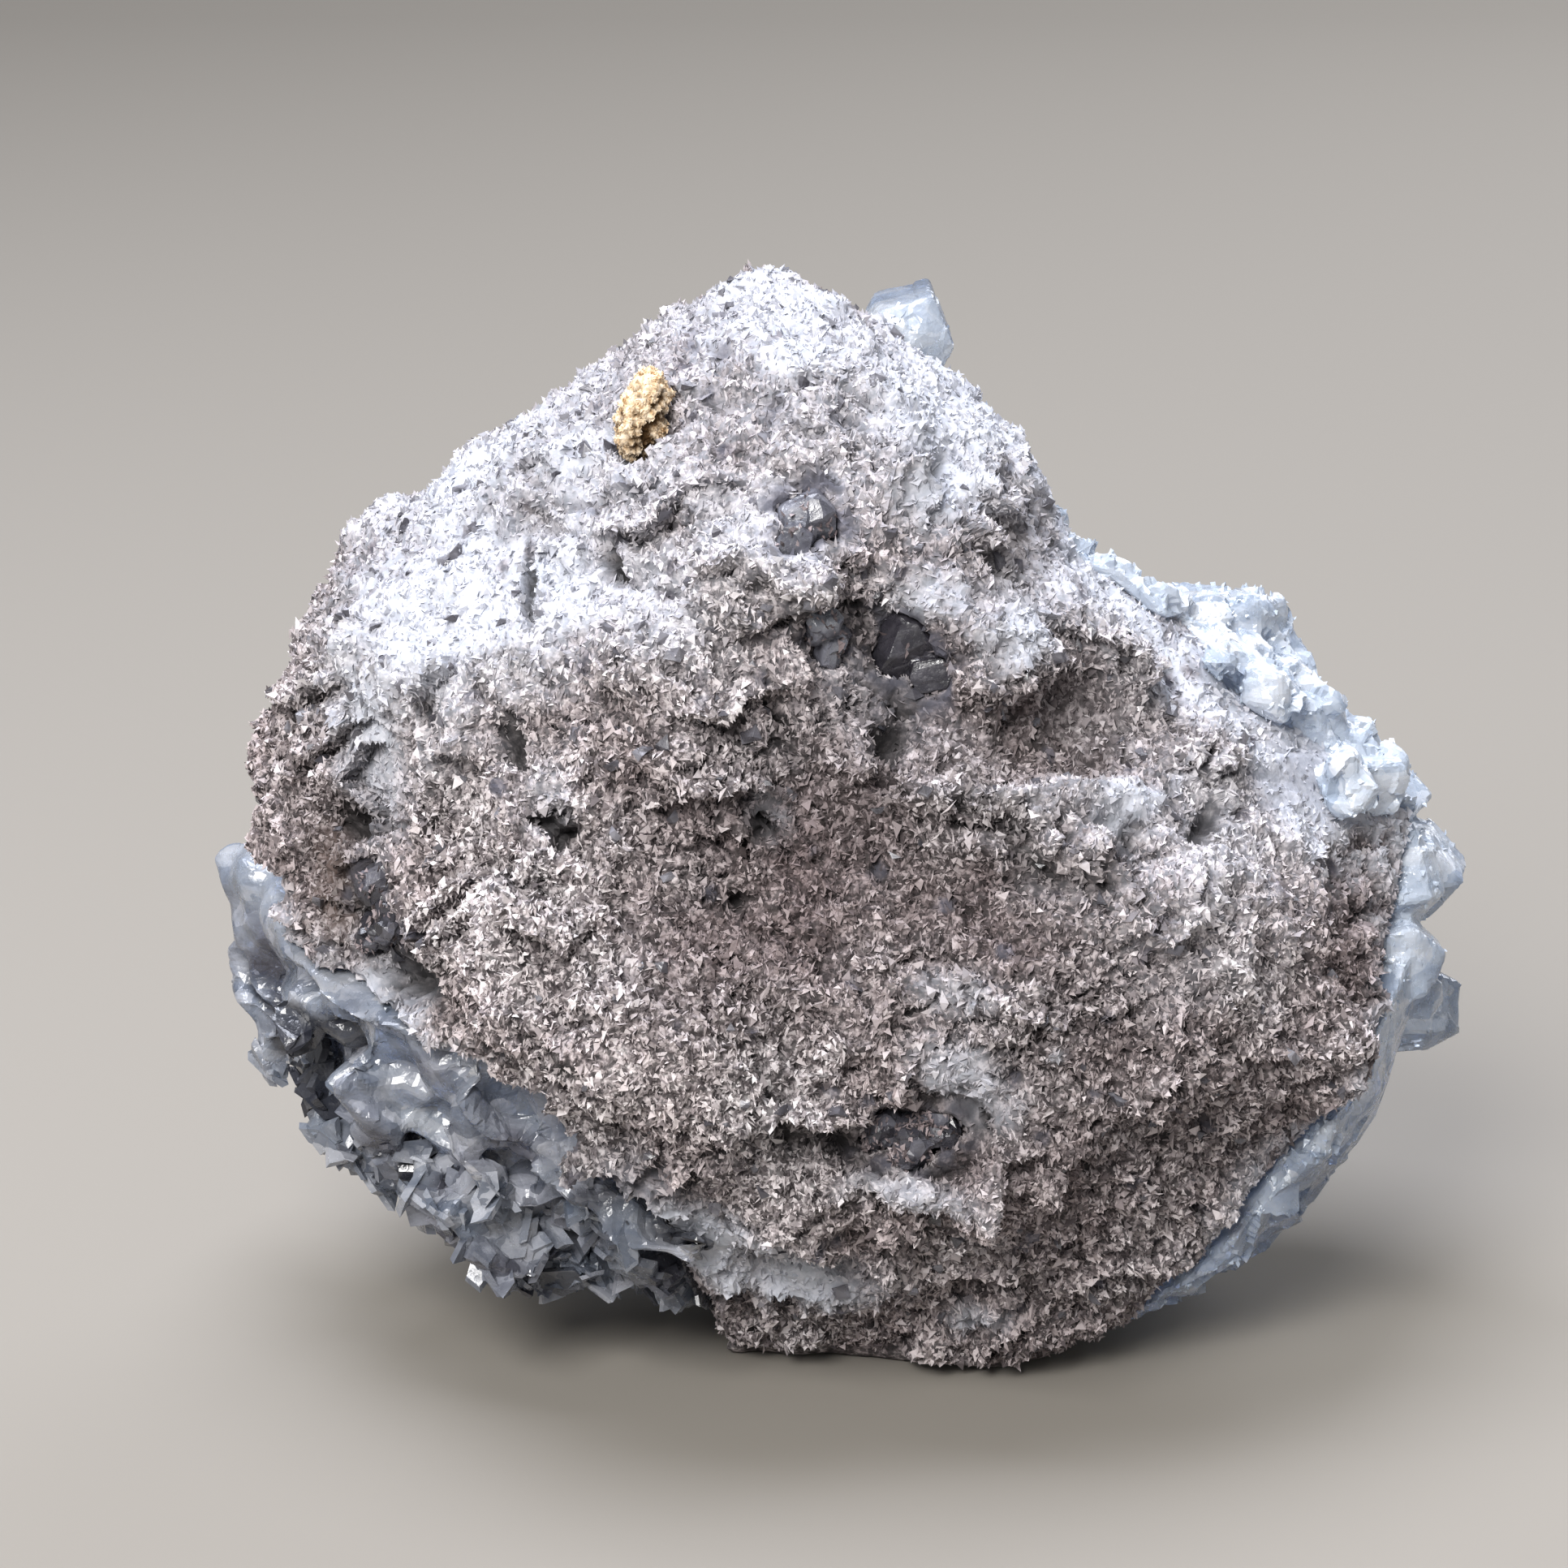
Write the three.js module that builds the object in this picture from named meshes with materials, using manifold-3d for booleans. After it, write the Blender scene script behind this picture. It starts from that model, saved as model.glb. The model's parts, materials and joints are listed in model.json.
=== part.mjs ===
// Celestite crystal cluster: a lump of sugary host rock with a crust of celestite on its far side.
// Millimetres, +Z up, the rough rock face towards -Y and the crystals towards +Y. It rests on z = 0.
import * as THREE from 'three';
import { ConvexGeometry } from 'three/addons/geometries/ConvexGeometry.js';
import { ImprovedNoise } from 'three/addons/math/ImprovedNoise.js';
import { mergeVertices } from 'three/addons/utils/BufferGeometryUtils.js';
import Module from 'manifold-3d';

// ---- Driving dimensions, mm ----

// Middle of the lump, from which its rims are measured.
const CENTRE = new THREE.Vector3(0, 2, 33.5);

// How far the rock face bulges towards the viewer, and how far the lump leans back at its top.
const FACE_DEPTH = 24;
const LEAN_BACK = 3;

// Rim of the host rock seen from the front: [angle in degrees, radius].
const ROCK_RIM = [
  [0, 36.4], [4, 34.4], [10, 29.4], [16, 26.4], [24, 24.8], [36, 23.2], [48, 23], [58, 25.4],
  [66, 26.8], [74, 27.7], [81, 29.2], [88, 31.6], [98, 33.6], [105, 33], [113, 32], [127, 31],
  [133, 31.2], [143, 32.7], [150, 35], [158, 34.9], [168, 35.7], [177, 36.7], [182, 36.2],
  [187, 33.2], [195, 35.6], [201, 37], [212, 36.6], [222, 35.8], [235, 34.2], [246, 34], [258, 34.2],
  [270, 34.5], [281, 35], [292, 36], [301, 37], [311, 36.8], [319, 36.2], [327, 36.4],
  [334, 37.2], [341, 37.5], [346, 34.6], [351, 35.3],
];

// Rim of the celestite layer behind it, wider at the left, lower left and right.
const CRUST_RIM = [
  [0, 36.4], [6, 33.6], [11, 31.4], [15, 29.4], [23, 26], [31, 24.6], [37, 23], [46, 22.2],
  [58, 24.2], [74, 26.6], [88, 30], [98, 32], [113, 30.8], [127, 30.2], [143, 31.8], [158, 33.6],
  [170, 34], [178, 34.8], [183, 35.4], [188, 36], [197, 36.4], [203, 36.2], [210, 35.6],
  [219, 34.8], [226, 34.6], [232, 33.6], [241, 33.2], [250, 33], [262, 32.8], [280, 33],
  [292, 34.8], [300, 37], [306, 38], [315, 38.6], [325, 38.8], [334, 38.6], [340, 38.2],
  [346, 37.2], [352, 36.8], [356, 36.4],
];

// Broken faces that flatten the rock: outward direction and distance from the centre.
const BROKEN_FACES = [
  { name: 'upper left slope', facing: [-0.6, -0.42, 0.68], distance: 30.2 },
  { name: 'brow', facing: [0.05, -0.8, 0.6], distance: 27 },
  { name: 'upper right slope', facing: [0.7, -0.45, 0.55], distance: 24.6 },
  { name: 'middle', facing: [0.02, -0.99, 0.08], distance: 21.6 },
  { name: 'right', facing: [0.62, -0.78, 0.08], distance: 28 },
  { name: 'lower right', facing: [0.45, -0.72, -0.52], distance: 28.4 },
  { name: 'chin', facing: [-0.05, -0.72, -0.69], distance: 26.2 },
  { name: 'left', facing: [-0.75, -0.65, 0.08], distance: 29 },
];

// Lumps (raise > 0) and pits (raise < 0) of the rock face: place x, z, half sizes, turn in degrees.
const FACE_RELIEF = [
  { name: 'ledge over the hollow', at: [-4.5, 54], size: [4.2, 1.8], turn: -12, raise: 1.9 },
  { name: 'hollow under the ledge', at: [2.2, 49], size: [4.4, 3.2], turn: -42, raise: -4.2 },
  { name: 'foot of the hollow', at: [3, 45], size: [2, 1.4], turn: 0, raise: -1.6 },
  { name: 'sloping hollow', at: [13, 45.2], size: [8.5, 4], turn: -16, raise: -2.8 },
  { name: 'knob over the sloping hollow', at: [15.5, 50.2], size: [3.4, 2.4], turn: -30, raise: 1.5 },
  { name: 'knob at the right end', at: [24, 42], size: [3.2, 2.6], turn: 15, raise: 1.2 },
  { name: 'sill of the sloping hollow', at: [14.5, 39.4], size: [7.5, 2.6], turn: 8, raise: 0.9 },
  { name: 'dent under the sill', at: [5, 36], size: [5, 3.5], turn: -40, raise: -0.9 },
  { name: 'left recess', at: [-27.6, 31.5], size: [2.6, 4.2], turn: 12, raise: -2.8 },
  { name: 'left hole', at: [-30, 38], size: [1.8, 1.3], turn: 0, raise: -2.2 },
  { name: 'pit low on the face', at: [4.4, 21], size: [4.8, 3], turn: -8, raise: -3.4 },
  { name: 'lip of the low pit', at: [4, 16.8], size: [4.2, 1.5], turn: 4, raise: 1.1 },
  { name: 'pit by the right slope', at: [11.5, 54.4], size: [2.6, 2.2], turn: 20, raise: -1.8 },
  { name: 'left crack', at: [-19.2, 44.4], size: [1.1, 1.9], turn: 10, raise: -1.8 },
  { name: 'crack below it', at: [-17, 39.6], size: [1.6, 1.2], turn: 25, raise: -1.3 },
  { name: 'right pit', at: [21.2, 39], size: [1.9, 1.6], turn: 0, raise: -1.9 },
  { name: 'left swelling', at: [-20, 30.5], size: [6.5, 7], turn: 0, raise: 1.5 },
  { name: 'lower swelling', at: [-8.5, 24], size: [7.5, 4.5], turn: -20, raise: 1.5 },
  { name: 'right swelling', at: [15, 29.5], size: [8, 5], turn: -15, raise: 1.3 },
  { name: 'ridge up the middle', at: [-8, 45], size: [4, 6], turn: 15, raise: 1.4 },
  { name: 'left brow', at: [-26, 46], size: [5, 4], turn: 30, raise: 1.2 },
  { name: 'groove of the lower right', at: [24, 15], size: [8, 1.2], turn: 42, raise: -0.9 },
];

// Roughness of the rock and of the crust's layer: wavelengths and heights.
const ROCK_GRAIN = [[12, 1.9], [6.3, 2], [3.3, 1.1]];
const CRUST_GRAIN = [[9, 0.9], [4, 0.6]];

// The seam between rock and crust: its depth behind the rim, its waves, and the crack between the two.
const SEAM_DEPTH = 4.5;
const SEAM_WAVES = [[15, 2.2], [6, 1.2]];
const CRACK = 0.3;

// Places where the crust comes forward past the rock: the rock's edge there, x and z, with the
// crust on the right hand of its run, and how far forward the seam dips behind that edge.
const BARE_CRUST = [
  {
    name: 'bladed band at the lower left',
    edge: [[-44, 26.4], [-31, 25.4], [-22.4, 28.8], [-15, 27.8], [-8.6, 23.6], [-5.4, 15], [-6.8, 7], [-8.4, -6]],
    dip: 27,
  },
  {
    name: 'crystals over the right shoulder',
    edge: [[44, 33.5], [36, 34.6], [31, 36], [27, 37.8], [25, 41], [23, 45], [18.5, 48.4], [16, 54]],
    dip: 8,
  },
  {
    name: 'thin rim at the lower right',
    edge: [[18, -8], [16.4, 4.6], [18.4, 8], [21.4, 11.2], [25.4, 15.2], [28.8, 20], [31, 23.6], [40, 27]],
    dip: 24,
  },
];

// Far side of the crust, behind the seam, and the crystals that stand on it.
const LAYER_DEPTH = 13.5;
const CRYSTAL_BEDS = [
  { count: 10, spread: 0.62, spacing: 10.5, width: [10.5, 13.5], height: [9.5, 13] },
  { count: 30, spread: 0.94, spacing: 7.4, width: [8, 10], height: [7, 10] },
  { count: 9, spread: 0.99, spacing: 5.2, width: [5, 7], height: [5, 7.5] },
];

// Small blocky crystals along stretches of the crust's rim: angles, depths and sizes.
const RIM_BELTS = [
  { name: 'left edge', angles: [180, 216], depths: [-0.3, 0.5], count: 8, width: [3.6, 5.4], height: [1.6, 3] },
  { name: 'right shoulder', angles: [2, 42], depths: [-0.34, 0.2], count: 10, width: [2.8, 4.2], height: [0.9, 1.9] },
  { name: 'right edge', angles: [332, 358], depths: [-0.2, 0.2], count: 4, width: [4, 5.4], height: [1.2, 2] },
];

// Broken plates that step down the bladed band in rows, each with its long side along the band.
const BAND_PLATES = {
  angles: [205, 244],
  rows: [[0.08, 0.3], [0.42, 0.6], [0.68, 0.84]],
  count: 18,
  width: [4.4, 8.5],
  thickness: [1.1, 2],
  height: [1.6, 3.3],
};

// Small crystals seated in pits of the rock face: place x, z, then each block's shift on the face,
// its size, spin and tilt. Each stands clear of its pit by the same narrow gap.
const PIT_GAP = 0.3;
const PIT_FOOT = 1.6;
const POCKET_CRYSTALS = [
  {
    name: 'pocket_crystal_upper',
    at: [-1.7, 56.2],
    blocks: [
      { shift: [0, 0], width: 3.2, thickness: 2.6, height: 0.9, spin: 25, tilt: [0.1, 0.1] },
      { shift: [-0.9, -1], width: 2.2, thickness: 1.7, height: 0.7, spin: 70, tilt: [-0.2, 0] },
    ],
  },
  {
    name: 'pocket_slab',
    at: [3.6, 48.2],
    blocks: [
      { shift: [0, 0], width: 4.6, thickness: 3.6, height: 1, spin: 50, tilt: [-0.25, 0.1] },
      { shift: [1.9, -1.3], width: 2.4, thickness: 1.6, height: 0.8, spin: 10, tilt: [0.1, 0] },
    ],
  },
  {
    name: 'pocket_cluster_middle',
    at: [-0.9, 49.6],
    blocks: [
      { shift: [0, 0.8], width: 1.9, thickness: 1.5, height: 1.2, spin: 15, tilt: [0.2, 0.3] },
      { shift: [0.4, -0.8], width: 2.1, thickness: 1.4, height: 1.1, spin: 65, tilt: [-0.2, -0.1] },
    ],
  },
  {
    name: 'pocket_cluster_left',
    at: [-27.2, 31.4],
    blocks: [
      { shift: [-0.3, 1.3], width: 2.6, thickness: 2, height: 1.3, spin: 30, tilt: [-0.3, 0.2] },
      { shift: [0.5, -0.7], width: 2.8, thickness: 1.8, height: 1.1, spin: 75, tilt: [0.1, 0.1] },
      { shift: [-0.5, -2.2], width: 2.2, thickness: 1.6, height: 1.2, spin: 5, tilt: [-0.1, -0.2] },
    ],
  },
  {
    name: 'pocket_cluster_bottom',
    at: [4.2, 20.2],
    blocks: [
      { shift: [-1.6, 0.2], width: 2.6, thickness: 1.7, height: 1, spin: 35, tilt: [-0.2, 0] },
      { shift: [0.2, -0.5], width: 2.8, thickness: 2, height: 1.2, spin: 80, tilt: [0, -0.2] },
      { shift: [1.9, 0.3], width: 2.2, thickness: 1.6, height: 1, spin: 10, tilt: [0.2, 0.1] },
    ],
  },
];

// The clay lump on the upper left slope: place x, z, half sizes, turn, and how deep it sits.
const CLAY = { at: [-11.6, 61], size: [1.45, 2.3, 3], turn: -14, sunk: 0.1, grain: [[1.8, 0.5], [0.9, 0.25]] };
const LUMP_SPLITS = 3;

// The lump rests where its bottom is worn flat, at z = 0.
const REST_HEIGHT = 0;
const CRUST_FOOT = 0.5;

// Triangles of the two big pieces: splits along each edge of the icosahedron they grow from.
const ROCK_SPLITS = 14;
const CRUST_SPLITS = 6;
const SEAM_STEPS = 13;

const COLOURS = {
  rock: '#bdb4ab',
  celestite: '#b4bdcd',
  clay: '#cfa868',
  smoky: '#6d6b76',
};

const perlin = new ImprovedNoise();
const wasm = await Module();
wasm.setup();

// ---- Small helpers ----

/** Repeatable random numbers between 0 and 1. */
function seededRandom(seed) {
  let state = seed;
  return () => {
    state = (state + 0x6d2b79f5) | 0;
    let mixed = Math.imul(state ^ (state >>> 15), 1 | state);
    mixed = (mixed + Math.imul(mixed ^ (mixed >>> 7), 61 | mixed)) ^ mixed;
    return ((mixed ^ (mixed >>> 14)) >>> 0) / 4294967296;
  };
}

/** A number between the two of a range, by a share from 0 to 1. */
function between([low, high], share) {
  return low + (high - low) * share;
}

/** A smooth step from 0 to 1 as value goes from low to high. */
function smoothStep(low, high, value) {
  return THREE.MathUtils.smoothstep(value, low, high);
}

/** The shape as a solid that can be joined and cut. */
function toSolid(geometry) {
  const bare = geometry.clone();
  bare.deleteAttribute('normal');
  bare.deleteAttribute('uv');
  const welded = mergeVertices(bare, 1e-4);
  const mesh = new wasm.Mesh({
    numProp: 3,
    vertProperties: new Float32Array(welded.attributes.position.array),
    triVerts: new Uint32Array(welded.index.array),
  });
  return new wasm.Manifold(mesh);
}

/** The solid as a three.js shape. */
function toGeometry(solid) {
  const mesh = solid.getMesh();
  const geometry = new THREE.BufferGeometry();
  geometry.setAttribute('position', new THREE.BufferAttribute(new Float32Array(mesh.vertProperties), 3));
  geometry.setIndex(new THREE.BufferAttribute(new Uint32Array(mesh.triVerts), 1));
  geometry.computeVertexNormals();
  return geometry;
}

/** The largest separate body of a solid, without the crumbs that a cut leaves. */
function largestBody(solid) {
  const bodies = solid.decompose();
  return bodies.reduce((best, body) => (body.volume() > best.volume() ? body : best));
}

/** Radius of a rim at an angle in degrees, on a smooth curve through its points. */
function rimRadius(rim, degrees) {
  const angle = THREE.MathUtils.euclideanModulo(degrees, 360);
  const count = rim.length;
  let after = rim.findIndex(([knot]) => knot > angle);
  if (after < 0) {
    after = count;
  }
  const knot = (index) => {
    const turns = Math.floor(index / count);
    const [at, radius] = rim[THREE.MathUtils.euclideanModulo(index, count)];
    return { at: at + 360 * turns, radius };
  };
  const [before, start, end, beyond] = [after - 2, after - 1, after, after + 1].map(knot);
  const span = end.at - start.at;
  const share = (angle - start.at) / span;
  const startSlope = ((end.radius - before.radius) / (end.at - before.at)) * span;
  const endSlope = ((beyond.radius - start.radius) / (beyond.at - start.at)) * span;
  const rise = end.radius - start.radius;
  const square = share * share;
  const cube = square * share;
  return start.radius + startSlope * (cube - 2 * square + share)
    + rise * (3 * square - 2 * cube) + endSlope * (cube - square);
}

/** Sum of noise waves at a point. */
function grain(point, waves) {
  return waves.reduce((sum, [length, height]) => {
    return sum + height * perlin.noise(point.x / length + 7.3, point.y / length + 2.9, point.z / length + 4.1);
  }, 0);
}

/** Moves every corner of a welded shape by a function of its place. */
function reshape(geometry, move) {
  const position = geometry.attributes.position;
  const point = new THREE.Vector3();
  for (let index = 0; index < position.count; index += 1) {
    point.fromBufferAttribute(position, index);
    const moved = move(point);
    position.setXYZ(index, moved.x, moved.y, moved.z);
  }
  return geometry;
}

/** A unit sphere of even triangles, welded. */
function evenSphere(splits) {
  const sphere = new THREE.IcosahedronGeometry(1, splits - 1);
  sphere.deleteAttribute('normal');
  sphere.deleteAttribute('uv');
  return mergeVertices(sphere, 1e-4);
}

// ---- Host rock ----

/** Raise of the rock face at a place x, z. */
function faceRelief(x, z) {
  return FACE_RELIEF.reduce((sum, { at, size, turn, raise }) => {
    const angle = THREE.MathUtils.degToRad(turn);
    const across = (x - at[0]) * Math.cos(angle) + (z - at[1]) * Math.sin(angle);
    const along = (z - at[1]) * Math.cos(angle) - (x - at[0]) * Math.sin(angle);
    const away = (across / size[0]) ** 2 + (along / size[1]) ** 2;
    return sum + raise * Math.exp(-(away ** 1.5));
  }, 0);
}

/** Pulls a point in to the broken faces, rounding the edge where it meets them. */
function breakFaces(offset) {
  const direction = new THREE.Vector3();
  let scale = 1;
  for (const { facing, distance } of BROKEN_FACES) {
    direction.fromArray(facing).normalize();
    const reach = offset.dot(direction);
    if (reach > 0) {
      const limit = distance / reach;
      const gap = Math.max(0, 0.06 - Math.abs(scale - limit)) / 0.06;
      scale = Math.min(scale, limit) - gap * gap * 0.015;
    }
  }
  return offset.multiplyScalar(scale);
}

/** Where a direction from the centre meets the rock's surface. */
function rockSurface(direction) {
  const side = Math.hypot(direction.x, direction.z);
  const degrees = THREE.MathUtils.radToDeg(Math.atan2(direction.z, direction.x));
  const radius = rimRadius(ROCK_RIM, degrees) * side ** 0.86;
  const depth = Math.sign(direction.y) * FACE_DEPTH * Math.abs(direction.y) ** 0.86;
  const offset = new THREE.Vector3(
    radius * direction.x / Math.max(side, 1e-6),
    depth,
    radius * direction.z / Math.max(side, 1e-6),
  );
  if (direction.y < 0) {
    breakFaces(offset);
  }
  const point = offset.clone().add(CENTRE);
  const front = smoothStep(0.05, 0.4, -direction.y);
  const outward = offset.normalize();
  point.addScaledVector(outward, grain(point, ROCK_GRAIN) * (0.45 + 0.55 * front));
  point.y -= faceRelief(point.x, point.z) * front;
  point.y += LEAN_BACK * (point.z - CENTRE.z) / CENTRE.z;
  return point;
}

// ---- Seam between rock and crust ----

/** How far a place x, z lies past an edge, on its right hand, in mm. */
function pastEdge(edge, x, z) {
  let nearest = Infinity;
  let past = false;
  for (let index = 1; index < edge.length; index += 1) {
    const [x0, z0] = edge[index - 1];
    const [x1, z1] = edge[index];
    const run = [x1 - x0, z1 - z0];
    const share = ((x - x0) * run[0] + (z - z0) * run[1]) / (run[0] ** 2 + run[1] ** 2);
    const held = THREE.MathUtils.clamp(share, 0, 1);
    const away = Math.hypot(x - x0 - held * run[0], z - z0 - held * run[1]);
    if (away < nearest) {
      nearest = away;
      past = run[0] * (z - z0) - run[1] * (x - x0) < 0;
    }
  }
  return past ? nearest : -nearest;
}

/** Depth y of the seam at a place x, z. */
function seamDepth(x, z) {
  const wave = grain(new THREE.Vector3(x, 0, z), SEAM_WAVES);
  const dips = BARE_CRUST.map(({ edge, dip }) => dip * smoothStep(-1.2, 3.6, pastEdge(edge, x, z)));
  const topLeft = 5 * smoothStep(8, 40, z - CENTRE.z - 0.6 * x);
  return CENTRE.y + SEAM_DEPTH + wave + topLeft - Math.max(...dips);
}

/** Everything behind the seam moved back by an amount, as one block. */
function behindSeam(shift) {
  const width = 100;
  const height = 96;
  const depth = 60;
  const block = mergeVertices(bareBox(width, depth, height, SEAM_STEPS, 1, SEAM_STEPS), 1e-4);
  return toSolid(reshape(block, (point) => {
    const x = point.x;
    const z = point.z + 34;
    const y = point.y < 0 ? seamDepth(x, z) + shift : depth;
    return new THREE.Vector3(x, y, z);
  }));
}

/** A box with no normals, ready for welding. */
function bareBox(...sizes) {
  const box = new THREE.BoxGeometry(...sizes);
  box.deleteAttribute('normal');
  box.deleteAttribute('uv');
  return box;
}

/** Half space above a height, as a block. */
function aboveHeight(height) {
  const block = new THREE.BoxGeometry(200, 200, 200);
  block.translate(0, 0, height + 100);
  return toSolid(block);
}

// ---- Crystals ----

/**
 * A blocky celestite crystal with a chisel end: its foot is at the origin and it grows along +Z.
 * A share under 1 cuts the four long edges, which makes the section six-sided.
 */
function crystalShape({ width, thickness, height, foot, chisel, lean, share }) {
  const shoulder = height - chisel;
  const section = [-1, 1].flatMap((side) => [
    [-width / 2 * share, side * thickness / 2],
    [width / 2 * share, side * thickness / 2],
  ]);
  if (share < 1) {
    section.push([-width / 2, 0], [width / 2, 0]);
  }
  const points = section.flatMap(([x, y]) => [
    new THREE.Vector3(x, y, -foot),
    new THREE.Vector3(x, y, shoulder + lean * x),
  ]);
  points.push(new THREE.Vector3(-width * 0.3, 0, height - lean * width * 0.3));
  points.push(new THREE.Vector3(width * 0.3, 0, height + lean * width * 0.3));
  return new ConvexGeometry(points);
}

/** A crystal that grows in a direction from a place, with its width along another, as a solid. */
function standingCrystal(shape, place, growth, along) {
  const zAxis = growth.clone().normalize();
  const yAxis = zAxis.clone().cross(along).normalize();
  const xAxis = yAxis.clone().cross(zAxis);
  const matrix = new THREE.Matrix4().makeBasis(xAxis, yAxis, zAxis).setPosition(place);
  return toSolid(crystalShape(shape).applyMatrix4(matrix));
}

/** A direction at an angle round the upright, leaning, for crystals that grow sideways. */
function skewedAlong(degrees) {
  const angle = THREE.MathUtils.degToRad(degrees);
  return new THREE.Vector3(0.31 * Math.sin(angle), Math.cos(angle), Math.sin(angle));
}

/** A direction at an angle round the viewing axis, for crystals that grow away from the viewer. */
function acrossAt(degrees) {
  const angle = THREE.MathUtils.degToRad(degrees);
  return new THREE.Vector3(Math.cos(angle), 0.13, Math.sin(angle));
}

/** A direction from the centre, by its angle seen from the front and its share of depth. */
function directionAt(degrees, depth) {
  const angle = THREE.MathUtils.degToRad(degrees);
  const side = Math.sqrt(1 - depth ** 2);
  return new THREE.Vector3(side * Math.cos(angle), depth, side * Math.sin(angle));
}

/** Where a direction from the centre meets the celestite layer. */
function layerSurface(direction) {
  const side = Math.hypot(direction.x, direction.z);
  const degrees = THREE.MathUtils.radToDeg(Math.atan2(direction.z, direction.x));
  const radius = rimRadius(CRUST_RIM, degrees) * side ** 0.8;
  const depth = direction.y > 0 ? LAYER_DEPTH * direction.y ** 0.7 : -21 * (-direction.y) ** 0.9;
  const point = new THREE.Vector3(
    radius * direction.x / Math.max(side, 1e-6),
    depth,
    radius * direction.z / Math.max(side, 1e-6),
  ).add(CENTRE);
  const outward = point.clone().sub(CENTRE).normalize();
  return point.addScaledVector(outward, grain(point, CRUST_GRAIN));
}

/** Whether a crystal would reach past the crust's rim, over the rock's top edge, or to the ground. */
function leavesCrust(tip, width) {
  const above = tip.z - CENTRE.z;
  const rim = rimRadius(CRUST_RIM, THREE.MathUtils.radToDeg(Math.atan2(above, tip.x)));
  const lifted = above + 0.3 * (tip.y - CENTRE.y);
  const degrees = THREE.MathUtils.radToDeg(Math.atan2(lifted, tip.x));
  const behindRock = degrees > 26 && degrees < 178;
  const overTop = behindRock && Math.hypot(tip.x, lifted) + 0.3 * width > rimRadius(ROCK_RIM, degrees);
  return overTop || Math.hypot(tip.x, above) > rim + 0.5 || tip.z < 1 + width / 2;
}

/** Crystals of the far side, spaced apart, splaying outwards towards the rim. */
function bedCrystals() {
  const random = seededRandom(41);
  const taken = [];
  const crystals = [];
  for (const bed of CRYSTAL_BEDS) {
    const wanted = taken.length + bed.count;
    for (let attempt = 0; attempt < 4000 && taken.length < wanted; attempt += 1) {
      const degrees = 360 * random();
      const share = bed.spread * Math.sqrt(random());
      const place = layerSurface(directionAt(degrees, Math.sqrt(1 - share ** 2.5)));
      const width = between(bed.width, random());
      const thickness = width * between([0.62, 0.9], random());
      const height = between(bed.height, random());
      const splay = place.clone().sub(CENTRE).multiplyScalar(0.75 * share / CENTRE.z);
      const growth = new THREE.Vector3(splay.x + 0.7 * (random() - 0.5), 1, splay.z + 0.7 * (random() - 0.5));
      const tip = place.clone().addScaledVector(growth.normalize(), height - 2);
      const lean = 0.35 * (random() - 0.5);
      const spin = 180 * random();
      const room = taken.every(({ at, spacing }) => at.distanceTo(place) > (bed.spacing + spacing) / 2);
      const seated = place.y > seamDepth(place.x, place.z) + 2.4;
      if (!room || !seated || leavesCrust(tip, width)) {
        continue;
      }
      taken.push({ at: place.clone(), spacing: bed.spacing });
      const shape = { width, thickness, height, foot: 0.4, chisel: thickness * 0.42, lean, share: width > 10 ? 0.72 : 1 };
      crystals.push(standingCrystal(shape, place.addScaledVector(growth, -2), growth, acrossAt(spin)));
    }
  }
  return crystals;
}

// Crystals seen past the rim: place, growth, spin and size.
const RIM_CRYSTALS = [
  { name: 'clear crystal behind the peak', at: [2.6, 13, 57.6], growth: [0.45, 0.1, 0.9], spin: 20, width: 6.8, height: 7.8 },
  { name: 'its neighbour', at: [-1, 14, 58], growth: [0.1, 0.35, 0.9], spin: 60, width: 5, height: 5 },
  { name: 'block on the shoulder', at: [15.5, 9, 44.5], growth: [0.5, 0.1, 0.8], spin: 10, width: 4.4, height: 4.2 },
  { name: 'second shoulder block', at: [20, 8, 41.6], growth: [0.35, -0.1, 0.8], spin: 0, width: 4.8, height: 3.6 },
  { name: 'lying prism', at: [24, 8, 40.6], growth: [0.85, 0.1, 0.2], spin: 30, width: 4, height: 6.4 },
  { name: 'right slope crystal', at: [27, 5, 37.5], growth: [0.6, -0.3, 0.5], spin: 70, width: 4, height: 4.5 },
  { name: 'right slope crystal', at: [30, 7, 35], growth: [0.7, -0.2, 0.6], spin: 15, width: 4.4, height: 5 },
  { name: 'upper right tip', at: [35, 9, 27.6], growth: [1, -0.1, 0.04], spin: 4, width: 6.6, height: 5.4 },
  { name: 'lower right tip', at: [35, 9, 18], growth: [1, -0.1, 0.1], spin: 62, width: 5.4, height: 5.4 },
  { name: 'left edge block', at: [-35, 7, 27.5], growth: [-1, 0, 0.12], spin: 40, width: 4.4, height: 4.4 },
  { name: 'left edge block', at: [-35, 7, 21], growth: [-1, 0, -0.1], spin: 10, width: 5, height: 4.6 },
];

/** Crystals seen past the rim, as solids. */
function rimCrystals() {
  return RIM_CRYSTALS.map(({ at, growth, spin, width, height }) => {
    const thickness = width * 0.78;
    const shape = { width, thickness, height, foot: 3, chisel: thickness * 0.45, lean: 0.1, share: 0.72 };
    return standingCrystal(shape, new THREE.Vector3(...at), new THREE.Vector3(...growth), skewedAlong(spin));
  });
}

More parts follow.
